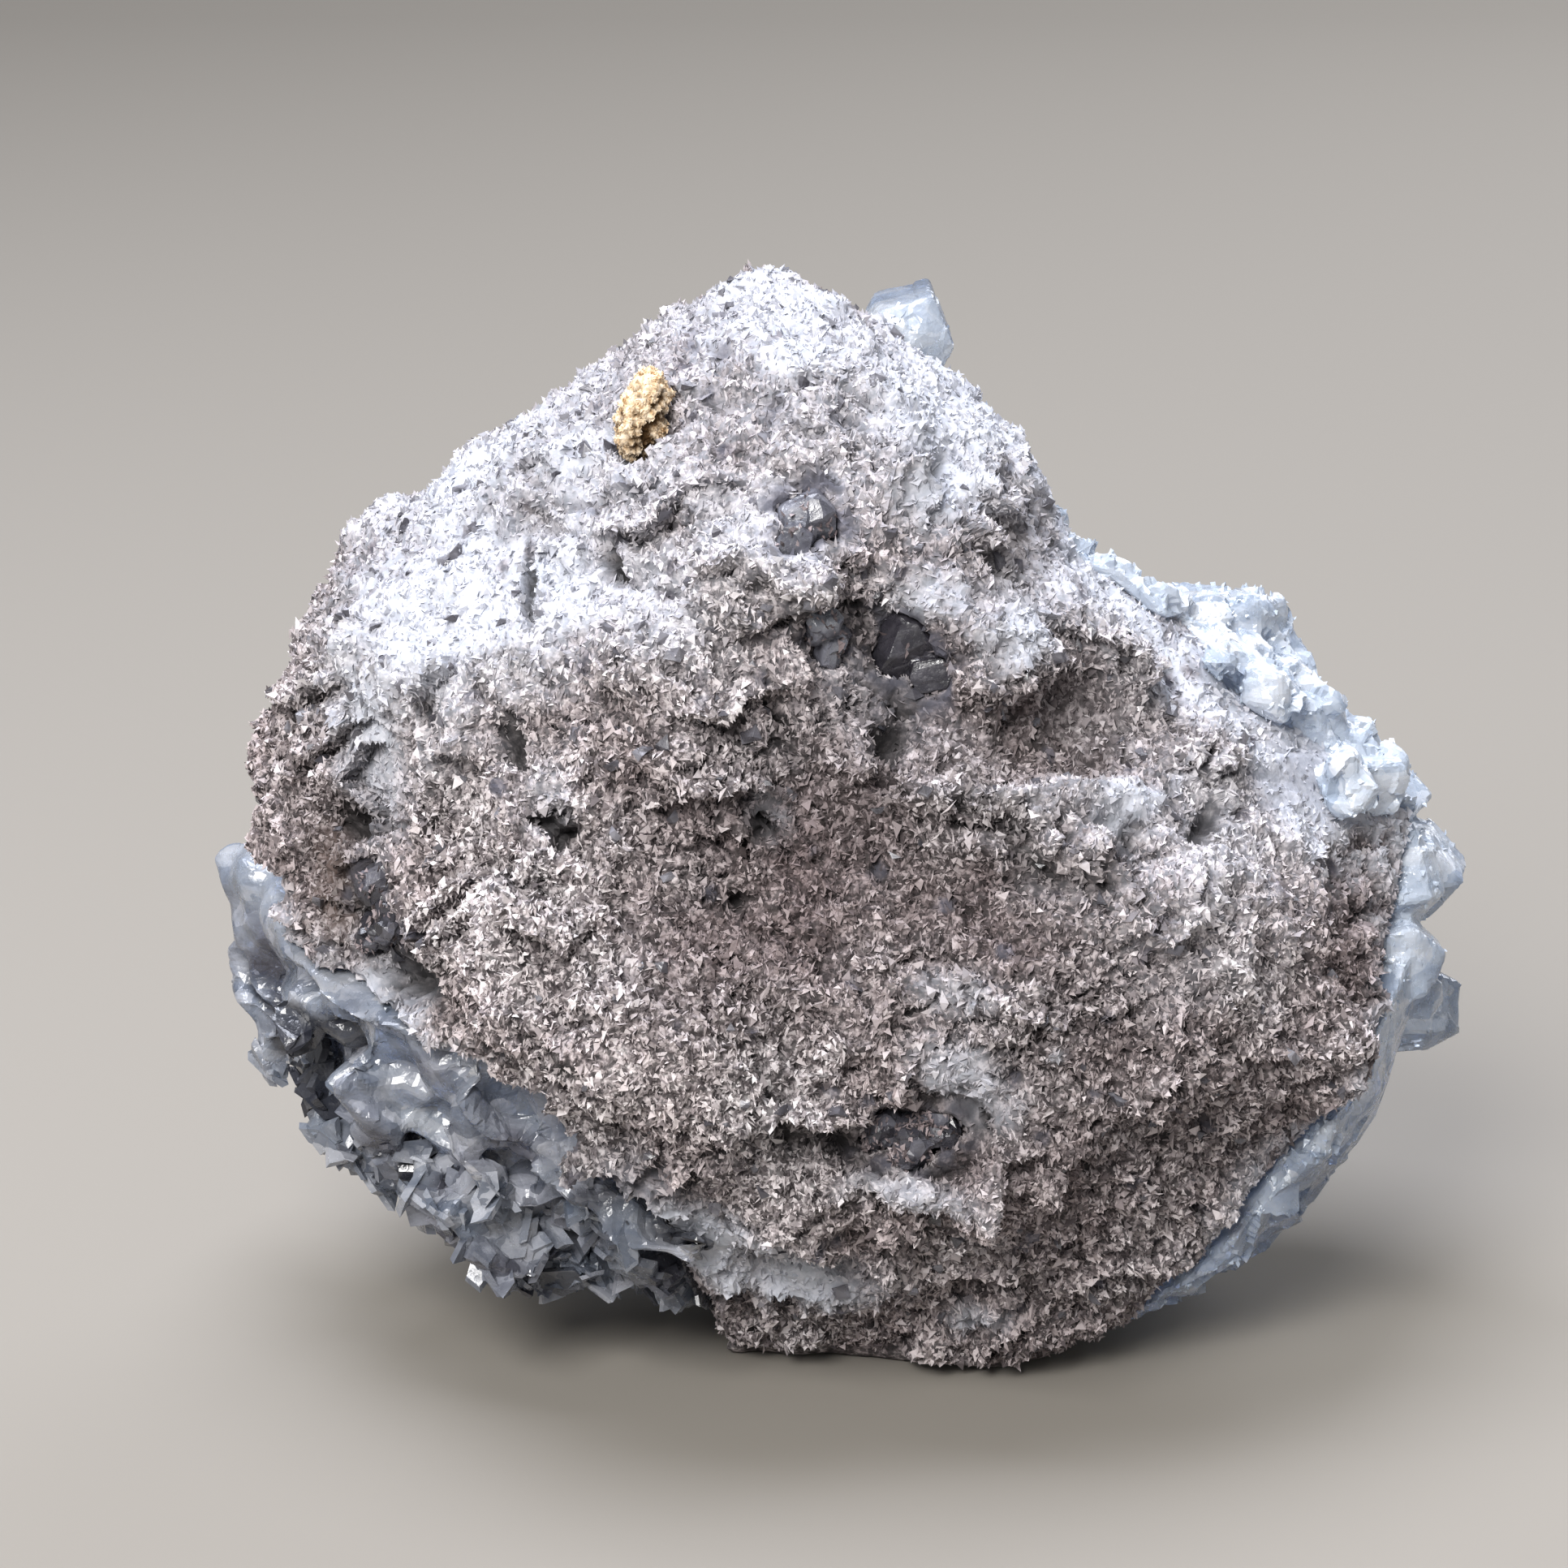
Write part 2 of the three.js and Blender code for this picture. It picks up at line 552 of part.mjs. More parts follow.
/** Small crystals along the bare stretches of the crust's rim, as solids. */
function beltCrystals() {
  const random = seededRandom(7);
  return RIM_BELTS.flatMap(({ angles, depths, count, width, height }) => {
    return Array.from({ length: count }, (unused, index) => {
      const degrees = between(angles, (index + random()) / count);
      const direction = directionAt(degrees, between(depths, random()));
      const place = layerSurface(direction);
      const growth = place.clone().sub(CENTRE).normalize();
      growth.x += 0.8 * (random() - 0.5);
      growth.y += 0.8 * (random() - 0.5);
      growth.z += 0.8 * (random() - 0.5);
      const across = between(width, random());
      const thickness = across * between([0.6, 0.95], random());
      const shape = {
        width: across,
        thickness,
        height: between(height, random()),
        foot: 2.5,
        chisel: thickness * 0.4,
        lean: 0.4 * (random() - 0.5),
        share: 1,
      };
      return standingCrystal(shape, place, growth, skewedAlong(180 * random()));
    });
  });
}

/** Broken plates of the bladed band, as solids. */
function bandPlates() {
  const random = seededRandom(23);
  const { angles, rows, count, width, thickness, height } = BAND_PLATES;
  return Array.from({ length: count }, (unused, index) => {
    const degrees = between(angles, (index + random()) / count);
    const direction = directionAt(degrees, -between(rows[index % rows.length], random()));
    const place = layerSurface(direction);
    const growth = place.clone().sub(CENTRE).normalize();
    growth.x += 0.4 * (random() - 0.5);
    growth.z += 0.4 * (random() - 0.5) - 0.15;
    const across = between(thickness, random());
    const shape = {
      width: between(width, random()),
      thickness: across,
      height: between(height, random()),
      foot: 2.5,
      chisel: across * 0.5,
      lean: 0.3 * (random() - 0.5),
      share: 1,
    };
    const along = acrossAt(degrees + 90 + between([-16, 16], random()));
    return standingCrystal(shape, place, growth, along);
  });
}

// ---- Small pieces seated in the rock face ----

/** The place on the front of a rock at x, z, and the way the rock faces there. */
function placeOnFace(rockMesh, [x, z]) {
  const ray = new THREE.Raycaster(new THREE.Vector3(x, -80, z), new THREE.Vector3(0, 1, 0));
  const { point, face } = ray.intersectObject(rockMesh)[0];
  return { point, normal: face.normal };
}

/** Blocks of one pocket, each standing on the face and grown by a margin, as one solid. */
function pocketCrystals(rockMesh, { at, blocks }, margin) {
  const [first, ...others] = blocks.map(({ shift, width, thickness, height, spin, tilt }) => {
    const place = placeOnFace(rockMesh, [at[0] + shift[0], at[1] + shift[1]]).point;
    const shape = {
      width: width + 2 * margin,
      thickness: thickness + 2 * margin,
      height: height + margin,
      foot: PIT_FOOT + margin,
      chisel: 0.35 * thickness,
      lean: 0,
      share: 0.72,
    };
    return standingCrystal(shape, place, new THREE.Vector3(tilt[0], -1, tilt[1]), acrossAt(spin));
  });
  return others.reduce((sum, block) => sum.add(block), first);
}

/** The clay lump half sunk in the face, grown by a margin, as a solid. */
function clayLump(rockMesh, margin) {
  const { point, normal } = placeOnFace(rockMesh, CLAY.at);
  const lump = reshape(evenSphere(LUMP_SPLITS), (direction) => {
    const waves = grain(direction.clone().multiplyScalar(CLAY.size[2]), CLAY.grain);
    return new THREE.Vector3(
      direction.x * (CLAY.size[0] + margin + waves),
      direction.y * (CLAY.size[1] + margin + waves),
      direction.z * (CLAY.size[2] + margin + waves),
    );
  });
  lump.rotateY(THREE.MathUtils.degToRad(-CLAY.turn));
  const middle = point.clone().addScaledVector(normal, -CLAY.sunk);
  lump.translate(middle.x, middle.y, middle.z);
  return toSolid(lump);
}

// ---- The pieces ----

const rockLump = toSolid(reshape(evenSphere(ROCK_SPLITS), rockSurface));
const rockBack = behindSeam(-CRACK / 2);
const crustFront = behindSeam(CRACK / 2);
const wholeRock = largestBody(rockLump.subtract(rockBack).intersect(aboveHeight(REST_HEIGHT)));
const wholeRockMesh = new THREE.Mesh(toGeometry(wholeRock));

const pits = [
  ...POCKET_CRYSTALS.map((pocket) => pocketCrystals(wholeRockMesh, pocket, PIT_GAP)),
  clayLump(wholeRockMesh, PIT_GAP),
];
const rock = largestBody(pits.reduce((left, pit) => left.subtract(pit), wholeRock));

const layer = toSolid(reshape(evenSphere(CRUST_SPLITS), layerSurface)).intersect(crustFront);
const grown = [...bedCrystals(), ...rimCrystals(), ...beltCrystals(), ...bandPlates()];
const crust = largestBody(grown.reduce((sum, crystal) => sum.add(crystal), layer)
  .subtract(rockLump.subtract(crustFront))
  .intersect(aboveHeight(CRUST_FOOT)));

/** A named piece with its own finish. */
function piece(name, solid, colour, roughness) {
  const material = new THREE.MeshStandardMaterial({ color: colour, roughness, metalness: 0 });
  material.name = `${name}_finish`;
  const mesh = new THREE.Mesh(toGeometry(solid), material);
  mesh.name = name;
  return mesh;
}

const cluster = new THREE.Group();
cluster.name = 'celestite_cluster';
cluster.add(piece('matrix_rock', rock, COLOURS.rock, 0.9));
cluster.add(piece('celestite_crust', crust, COLOURS.celestite, 0.15));
for (const pocket of POCKET_CRYSTALS) {
  cluster.add(piece(pocket.name, pocketCrystals(wholeRockMesh, pocket, 0), COLOURS.smoky, 0.25));
}
cluster.add(piece('clay_nodule', clayLump(wholeRockMesh, 0), COLOURS.clay, 0.95));

// The origin is under the middle of the whole cluster.
const box = new THREE.Box3().setFromObject(cluster);
const middle = box.getCenter(new THREE.Vector3());
for (const mesh of cluster.children) {
  mesh.position.set(-middle.x, -middle.y, -box.min.z);
}

export default cluster;
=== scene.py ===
"""Looks of a celestite crystal cluster: sugary host rock in front, a crust of pale blue crystals behind.

Lengths in the sizes below are millimetres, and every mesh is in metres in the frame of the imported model:
+Z up, the rough rock face towards -Y, the crystals towards +Y, and z = 0 under the flat that it rests on.
"""

from __future__ import annotations

import json
import logging
import math
import sys
from dataclasses import dataclass, field
from enum import Enum
from functools import partial
from typing import Any, Callable, Iterable, Sequence

import bmesh
import bpy
import numpy as np
from mathutils import Matrix, Vector, noise
from mathutils.bvhtree import BVHTree

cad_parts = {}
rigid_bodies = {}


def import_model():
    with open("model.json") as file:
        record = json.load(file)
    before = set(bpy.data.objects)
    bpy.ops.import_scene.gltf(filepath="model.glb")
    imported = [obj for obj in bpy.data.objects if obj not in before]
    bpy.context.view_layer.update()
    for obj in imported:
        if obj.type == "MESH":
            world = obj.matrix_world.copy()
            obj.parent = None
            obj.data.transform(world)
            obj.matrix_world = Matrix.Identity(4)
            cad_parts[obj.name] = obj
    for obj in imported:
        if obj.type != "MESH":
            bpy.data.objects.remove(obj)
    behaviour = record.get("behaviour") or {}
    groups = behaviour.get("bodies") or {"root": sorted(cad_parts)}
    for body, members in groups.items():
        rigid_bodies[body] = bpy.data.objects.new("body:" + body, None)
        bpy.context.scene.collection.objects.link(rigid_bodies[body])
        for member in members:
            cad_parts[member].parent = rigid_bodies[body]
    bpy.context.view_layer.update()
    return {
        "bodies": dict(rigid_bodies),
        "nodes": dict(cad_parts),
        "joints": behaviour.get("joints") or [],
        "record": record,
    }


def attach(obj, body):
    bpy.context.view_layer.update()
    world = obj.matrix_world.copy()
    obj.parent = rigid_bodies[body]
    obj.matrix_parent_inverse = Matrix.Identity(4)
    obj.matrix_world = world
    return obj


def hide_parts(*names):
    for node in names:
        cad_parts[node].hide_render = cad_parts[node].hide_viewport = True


MM = 0.001
LOG = logging.getLogger("celestite_cluster")
BODY = "root"
NOISE_SEED = 7
# Corners closer than this are one corner, mm.
WELD = 0.002
# Taken off a random direction, whose three parts run from 0 to 1, so that it can point any way.
HALF = Vector((0.5, 0.5, 0.5))
# Settings of a node that mixes two colours, and of one that multiplies them.
BLEND = {"data_type": "RGBA", "out": 2}
MULTIPLY = {**BLEND, "blend_type": "MULTIPLY"}


class Slot(Enum):
    """Material slots of the record that the pieces take their finish from."""

    MATRIX = "matrix"
    CELESTITE = "celestite"
    POCKET = "pocket_crystal"
    CLAY = "clay"


# ---------------------------------------------------------------- helpers


def linear(hex_colour: str) -> tuple[float, float, float, float]:
    """Turns an sRGB hex colour to the linear colour that shaders use.

    Args:
        hex_colour: Colour such as "#c9c1b6".

    Returns:
        Linear red, green, blue and an alpha of 1.
    """
    shares = [int(hex_colour[i : i + 2], 16) / 255 for i in (1, 3, 5)]
    red, green, blue = (s / 12.92 if s <= 0.04045 else ((s + 0.055) / 1.055) ** 2.4 for s in shares)
    return red, green, blue, 1.0


def smooth_step(low: float, high: float, value: Any) -> Any:
    """Rises smoothly from 0 to 1 as a value, or each of an array, goes from low to high."""
    share = np.clip((value - low) / (high - low), 0.0, 1.0)
    return share * share * (3.0 - 2.0 * share)


@dataclass(frozen=True)
class Zone:
    """A part of the specimen with soft edges: each pair is where its share is 0 and where it is 1, mm."""

    across: tuple[float, float]
    up: tuple[float, float]
    lean: float = 0.0
    pivot: float = 0.0

    def share(self, x: Any, z: Any) -> Any:
        """Share from 0 to 1 that places with these sides and heights are in the zone."""
        return smooth_step(*self.up, z + self.lean * (x - self.pivot)) * smooth_step(*self.across, x)


def add_node(
    tree: bpy.types.NodeTree,
    kind: str,
    inputs: dict[str | int, Any] | None = None,
    out: int | str = 0,
    **settings: Any,
) -> Any:
    """Adds a node to a tree with its settings and links.

    Args:
        tree: Shader or geometry tree.
        kind: Blender's name for the kind of node.
        inputs: Input names or places, each with a constant or the socket that feeds it.
        out: Name or place of the output that is wanted.
        settings: Properties of the node and their values.

    Returns:
        That output, or None where the node has no output.
    """
    made = tree.nodes.new(kind)
    for name, value in settings.items():
        setattr(made, name, value)
    for key, value in (inputs or {}).items():
        if isinstance(value, bpy.types.NodeSocket):
            tree.links.new(value, made.inputs[key])
        else:
            made.inputs[key].default_value = value
    return made.outputs[out] if made.outputs else None


def start_material(name: str) -> tuple[bpy.types.Material, Callable[..., Any], bpy.types.NodeSocket]:
    """Starts a material on an empty tree.

    Args:
        name: Name of the material.

    Returns:
        The material, what adds a node to its tree, and the place on the piece in millimetres.
    """
    material = bpy.data.materials.new(name)
    material.use_nodes = True
    material.node_tree.nodes.clear()
    node = partial(add_node, material.node_tree)
    place = node("ShaderNodeTexCoord", out="Object")
    return material, node, node("ShaderNodeVectorMath", {0: place, "Scale": 1 / MM}, operation="SCALE")


def rows_of(values: Any, name: str) -> np.ndarray:
    """Reads three numbers for each corner of a mesh, such as its place, as an array of rows."""
    flat = np.empty(len(values) * 3, np.float32)
    values.foreach_get(name, flat)
    return flat.reshape(-1, 3).astype(float)


def places_of(mesh: bpy.types.Mesh) -> np.ndarray:
    """Corners of a mesh as an array of rows, in millimetres."""
    return rows_of(mesh.vertices, "co") / MM


def normals_of(mesh: bpy.types.Mesh) -> np.ndarray:
    """Outward directions at the corners of a mesh as an array of rows."""
    return rows_of(mesh.vertex_normals, "vector")


def set_places(mesh: bpy.types.Mesh, places: np.ndarray) -> None:
    """Moves the corners of a mesh to an array of rows, in millimetres."""
    mesh.vertices.foreach_set("co", (places * MM).astype(np.float32).ravel())
    mesh.update()


def set_attribute(mesh: bpy.types.Mesh, name: str, values: np.ndarray) -> None:
    """Stores one number for each corner of a mesh under a name."""
    attribute = mesh.attributes.new(name, "FLOAT", "POINT")
    attribute.data.foreach_set("value", values.astype(np.float32))


def at_each(places: np.ndarray, measure: Callable[[Vector], Any]) -> np.ndarray:
    """Measures something at each place.

    Args:
        places: Array of rows, mm.
        measure: What gives one number for a place, or several.

    Returns:
        One value for each place. Where there are several numbers, each has such a row.
    """
    return np.array([measure(Vector(row)) for row in places]).T


def noise_at(places: np.ndarray, size: float) -> np.ndarray:
    """Smooth random value at each place, for swells of a size in millimetres."""
    return at_each(places, lambda place: noise.noise(place / size))


def shift_at(places: np.ndarray, reach: float, scale: float) -> np.ndarray:
    """Smooth random shift at each place, mm, as three rows."""
    return reach * at_each(places, lambda place: noise.noise_vector(place * scale))


def skin_of(*meshes: bpy.types.Mesh) -> BVHTree:
    """Joins the skins of some meshes to one that finds its nearest place."""
    places: list[Vector] = []
    faces: list[tuple[int, ...]] = []
    for mesh in meshes:
        first = len(places)
        places += [vertex.co.copy() for vertex in mesh.vertices]
        faces += [tuple(first + corner for corner in face.vertices) for face in mesh.polygons]
    return BVHTree.FromPolygons(places, faces)


def distance_to(skin: BVHTree, places: np.ndarray) -> np.ndarray:
    """Distance of each place from a skin, in millimetres."""
    return at_each(places, lambda place: skin.find_nearest(place * MM)[3] / MM)


def add_object(name: str, data: bpy.types.ID) -> bpy.types.Object:
    """Puts a mesh, a light or a camera in the scene as an object at the origin."""
    made = bpy.data.objects.new(name, data)
    bpy.context.scene.collection.objects.link(made)
    return made


def welded_copy(frame: dict[str, Any], node: str) -> bpy.types.Mesh:
    """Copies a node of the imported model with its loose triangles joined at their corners.

    Args:
        frame: What the frame gives.
        node: Name of the node.

    Returns:
        A new mesh of one closed skin.
    """
    mesh = frame["nodes"][node].data.copy()
    shape = bmesh.new()
    shape.from_mesh(mesh)
    bmesh.ops.remove_doubles(shape, verts=shape.verts, dist=WELD * MM)
    shape.to_mesh(mesh)
    shape.free()
    mesh.materials.clear()
    return mesh


def with_modifiers_applied(made: bpy.types.Object) -> bpy.types.Mesh:
    """Turns an object's evaluated shape to a plain mesh and takes its modifiers off.

    Args:
        made: Object with live modifiers.

    Returns:
        The plain mesh, which the object now has.
    """
    graph = bpy.context.evaluated_depsgraph_get()
    graph.update()
    mesh = bpy.data.meshes.new_from_object(
        made.evaluated_get(graph), preserve_all_data_layers=True, depsgraph=graph
    )
    made.modifiers.clear()
    made.data = mesh
    mesh.name = made.name
    return mesh


def even_out(made: bpy.types.Object, smoothing: int, spacing: float) -> None:
    """Gives an object evenly spaced corners, and rounds it first.

    Args:
        made: Object of closed skins, which is changed.
        smoothing: Levels of subdivision that round it first.
        spacing: Distance between corners, mm.
    """
    if smoothing:
        rounded = made.modifiers.new("rounded", "SUBSURF")
        rounded.levels = rounded.render_levels = smoothing
    even = made.modifiers.new("even", "REMESH")
    even.mode = "VOXEL"
    even.voxel_size = spacing * MM
    with_modifiers_applied(made)


def triangle_count(mesh: bpy.types.Mesh) -> int:
    """Number of triangles that the faces of a mesh make."""
    return sum(len(face.vertices) - 2 for face in mesh.polygons)


def thin_out(made: bpy.types.Object, hidden: np.ndarray, most: int) -> None:
    """Takes triangles out of the side of an object that its neighbour hides.

    Args:
        made: Object, which is changed.
        hidden: Share from 0 to 1 that each corner is hidden.
        most: Number of triangles to come down to.
    """
    group = made.vertex_groups.new(name="hidden")
    for index in np.flatnonzero(hidden > 0.5):
        group.add([int(index)], 1.0, "REPLACE")
    thinner = made.modifiers.new("thinner", "DECIMATE")
    thinner.ratio = min(1.0, most / triangle_count(made.data))
    thinner.vertex_group = group.name
    thinner.vertex_group_factor = 1.0
    with_modifiers_applied(made)
    made.vertex_groups.clear()


def break_up(made: bpy.types.Object, share: float) -> None:
    """Turns the even skin of an object to flat facets of uneven size.

    Args:
        made: Object, which is changed.
        share: Share of its triangles that is left.
    """
    facets = made.modifiers.new("facets", "DECIMATE")
    facets.ratio = share
    with_modifiers_applied(made)
    made.data.shade_flat()


def keep_side(made: bpy.types.Object, point: Vector, facing: Vector) -> None:
    """Cuts an object at a plane and closes the cut.

    Args:
        made: Object of one closed skin, which is changed.
        point: A place on the plane, in metres.
        facing: Direction towards the side that is kept.
    """
    # Edge of the cube that cuts, m: larger than the specimen.
    reach = 0.2
    turned = facing.to_track_quat("Z", "Y").to_matrix().to_4x4()
    matrix = Matrix.Translation(point + facing.normalized() * reach / 2) @ turned
    shape = bmesh.new()
    bmesh.ops.create_cube(shape, size=reach, matrix=matrix)
    mesh = bpy.data.meshes.new(f"{made.name}_cutter")
    shape.to_mesh(mesh)
    shape.free()
    cutter = add_object(mesh.name, mesh)
    cut = made.modifiers.new("cut", "BOOLEAN")
    cut.operation, cut.solver, cut.object = "INTERSECT", "EXACT", cutter
    with_modifiers_applied(made)
    bpy.data.objects.remove(cutter)


def fill_ramp(ramp: bpy.types.ColorRamp, stops: Sequence[float], tones: Sequence[str]) -> None:
    """Sets the tones of a ramp from its darkest to its brightest."""
    ramp.elements[0].position, ramp.elements[0].color = stops[0], linear(tones[0])
    ramp.elements[1].position, ramp.elements[1].color = stops[-1], linear(tones[-1])
    for stop, tone in zip(stops[1:-1], tones[1:-1]):
        ramp.elements.new(stop).color = linear(tone)


def softened(mesh: bpy.types.Mesh, places: np.ndarray, share: np.ndarray, steps: int) -> np.ndarray:
    """Rounds a mesh by moving each corner towards the middle of its neighbours.

    Args:
        mesh: Mesh that gives the edges.
        places: Corners to start from.
        share: How far each corner may move, from 0 to 1.
        steps: How many times they move.

    Returns:
        The new corners.
    """
    ends = np.empty(len(mesh.edges) * 2, np.int32)
    mesh.edges.foreach_get("vertices", ends)
    start, end = ends.reshape(-1, 2).T
    count = np.maximum(np.bincount(ends, minlength=len(places)), 1)[:, None]
    for _ in range(steps):
        total = np.zeros_like(places)
        for axis in range(3):
            total[:, axis] += np.bincount(start, places[end, axis], len(places))
            total[:, axis] += np.bincount(end, places[start, axis], len(places))
        places = places + 0.5 * share[:, None] * (total / count - places)
    return places


def finish_piece(
    made: bpy.types.Object,
    replaced: Sequence[str] = (),
    material: bpy.types.Material | None = None,
) -> None:
    """Joins a piece to the body it moves with and reports it.

    Args:
        made: Finished object at the origin.
        replaced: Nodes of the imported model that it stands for.
        material: Material of the whole piece, where it isn't set yet.
    """
    if material is not None:
        made.data.materials.clear()
        made.data.materials.append(material)
    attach(made, BODY)
    if replaced:
        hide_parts(*replaced)
    LOG.info("%s: %d triangles", made.name, triangle_count(made.data))


# ---------------------------------------------------------------- finishes


@dataclass(frozen=True)
class SugaryRock:
    """Limestone full of fine celestite, broken by hand: matt, crumbly, pale flakes over gaps darkened with
    painted shade.
    """

    name: str = "sugary limestone matrix, broken face"
    flake: str = "#dcd5d6"
    flake_bright: str = "#f1edee"
    body: str = "#8b8486"
    body_dark: str = "#4b4446"
    # Colour of the painted shade in gaps, holes and recesses.
    gap: str = "#1b1819"
    stain: str = "#5c4a42"
    bluish: str = "#c6cbd5"
    smoky: str = "#4e4e5a"
    low_shade_and_dark_drift: str = "#aea6a7"
    # The next two mix painted relief shading: the first darkens low places and darker drifts of tone, the
    # second, white, leaves crests and pale drifts as they are.
    crest_light_and_pale_drift: str = "#ffffff"
    tint: str = "#ebe4e3"
    rock_stops: tuple[float, ...] = (0.0, 0.35, 0.8, 1.0)
    flake_stops: tuple[float, ...] = (0.0, 0.15, 0.5, 1.0)
    roughness: float = 0.86
    sparkle_roughness: float = 0.4
    index: float = 1.55
    bump: float = 0.12

    def build(self, loose: bool) -> bpy.types.Material:
        """Makes the material.

        Args:
            loose: Whether it is for the loose flakes, each of its own tone, or for the rock.

        Returns:
            The material.
        """
        material, node, in_mm = start_material(f"{self.name}, flakes" if loose else self.name)
        if loose:
            shade = node("ShaderNodeAttribute", out="Fac", attribute_name="tone")
        else:
            # Single grains of about half a millimetre.
            fine = {"Scale": 1.25, "Detail": 3.0, "Roughness": 0.65}
            grains = node("ShaderNodeTexNoise", {"Vector": in_mm, **fine})
            shade = node("ShaderNodeMapRange", {0: grains, "From Min": 0.36, "From Max": 0.66})
        tinted = node("ShaderNodeValToRGB", {"Fac": shade})
        tones = (self.body_dark, self.body, self.flake, self.flake_bright)
        fill_ramp(tinted.node.color_ramp, self.flake_stops if loose else self.rock_stops, tones)
        # Broad drifts of tone, about 8 mm across.
        broad = node("ShaderNodeTexNoise", {"Vector": in_mm, "Scale": 0.12, "Detail": 3.0})
        drift = node("ShaderNodeMapRange", {0: broad, "From Min": 0.35, "From Max": 0.65})
        tinted = node("ShaderNodeMix", {0: drift, 6: tinted, 7: linear(self.tint)}, **MULTIPLY)
        pits = node("ShaderNodeTexNoise", {"Vector": in_mm, "Scale": 2.4, "Detail": 2.0, "Roughness": 0.6})
        if not loose:
            # Painted shade in the gaps of a few tenths of a millimetre between the grains, filled where it is
            # white.
            gaps = node("ShaderNodeMapRange", {0: pits, "From Min": 0.56, "From Max": 0.44, "To Max": 0.75})
            white = node("ShaderNodeAttribute", out="Fac", attribute_name="bluish")
            filled = node("ShaderNodeMapRange", {0: white, "From Max": 0.6, "To Min": 1.0, "To Max": 0.2})
            gaps = node("ShaderNodeMath", {0: gaps, 1: filled}, operation="MULTIPLY")
            tinted = node("ShaderNodeMix", {0: gaps, 6: tinted, 7: linear(self.gap)}, **BLEND)
        # Painted relief shading: recesses are darkened and dulled, raised crests stay pale; the patches' real
        # drifts of tone ride on the same mix.
        worn = node("ShaderNodeAttribute", out="Fac", attribute_name="worn")
        relief_shaded = node("ShaderNodeMix", {0: worn, 6: linear(self.low_shade_and_dark_drift), 7: linear(self.crest_light_and_pale_drift)}, **BLEND)
        tinted = node("ShaderNodeMix", {0: 1.0, 6: tinted, 7: relief_shaded}, **MULTIPLY)
        # Bluish white, stain and smoky are the rock's own colours; the last entry is painted shade in
        # recesses, under lips, in crevices and in holes.
        for attribute, colour, most in (
            ("bluish", self.bluish, 1.0),
            ("stain", self.stain, 0.8),
            ("smoky", self.smoky, 0.85),
            ("hollow", self.gap, 0.7 if loose else 0.9),
        ):
            share = node("ShaderNodeAttribute", out="Fac", attribute_name=attribute)
            held = node("ShaderNodeMath", {0: share, 1: most}, operation="MULTIPLY")
            if loose and attribute == "bluish":
                # The darker grains stay grey between the white ones.
                darker = {"From Min": 0.03, "From Max": 0.12, "To Min": 0.6}
                grey = node("ShaderNodeMapRange", {0: shade, **darker})
                held = node("ShaderNodeMath", {0: held, 1: grey}, operation="MULTIPLY")
            tinted = node("ShaderNodeMix", {0: held, 6: tinted, 7: linear(colour)}, **BLEND)
        roughness: Any = self.roughness
        if loose:
            # About one flake in six is a clean cleavage face that glints.
            ends = {"To Min": self.roughness, "To Max": self.sparkle_roughness}
            roughness = node("ShaderNodeMapRange", {0: shade, "From Min": 0.8, "From Max": 0.86, **ends})
        bump = node("ShaderNodeBump", {"Strength": 0.55, "Distance": self.bump * MM, "Height": pits})
        faces = {"Base Color": tinted, "Roughness": roughness, "IOR": self.index, "Normal": bump}
        node("ShaderNodeOutputMaterial", {"Surface": node("ShaderNodeBsdfPrincipled", faces)})
        return material


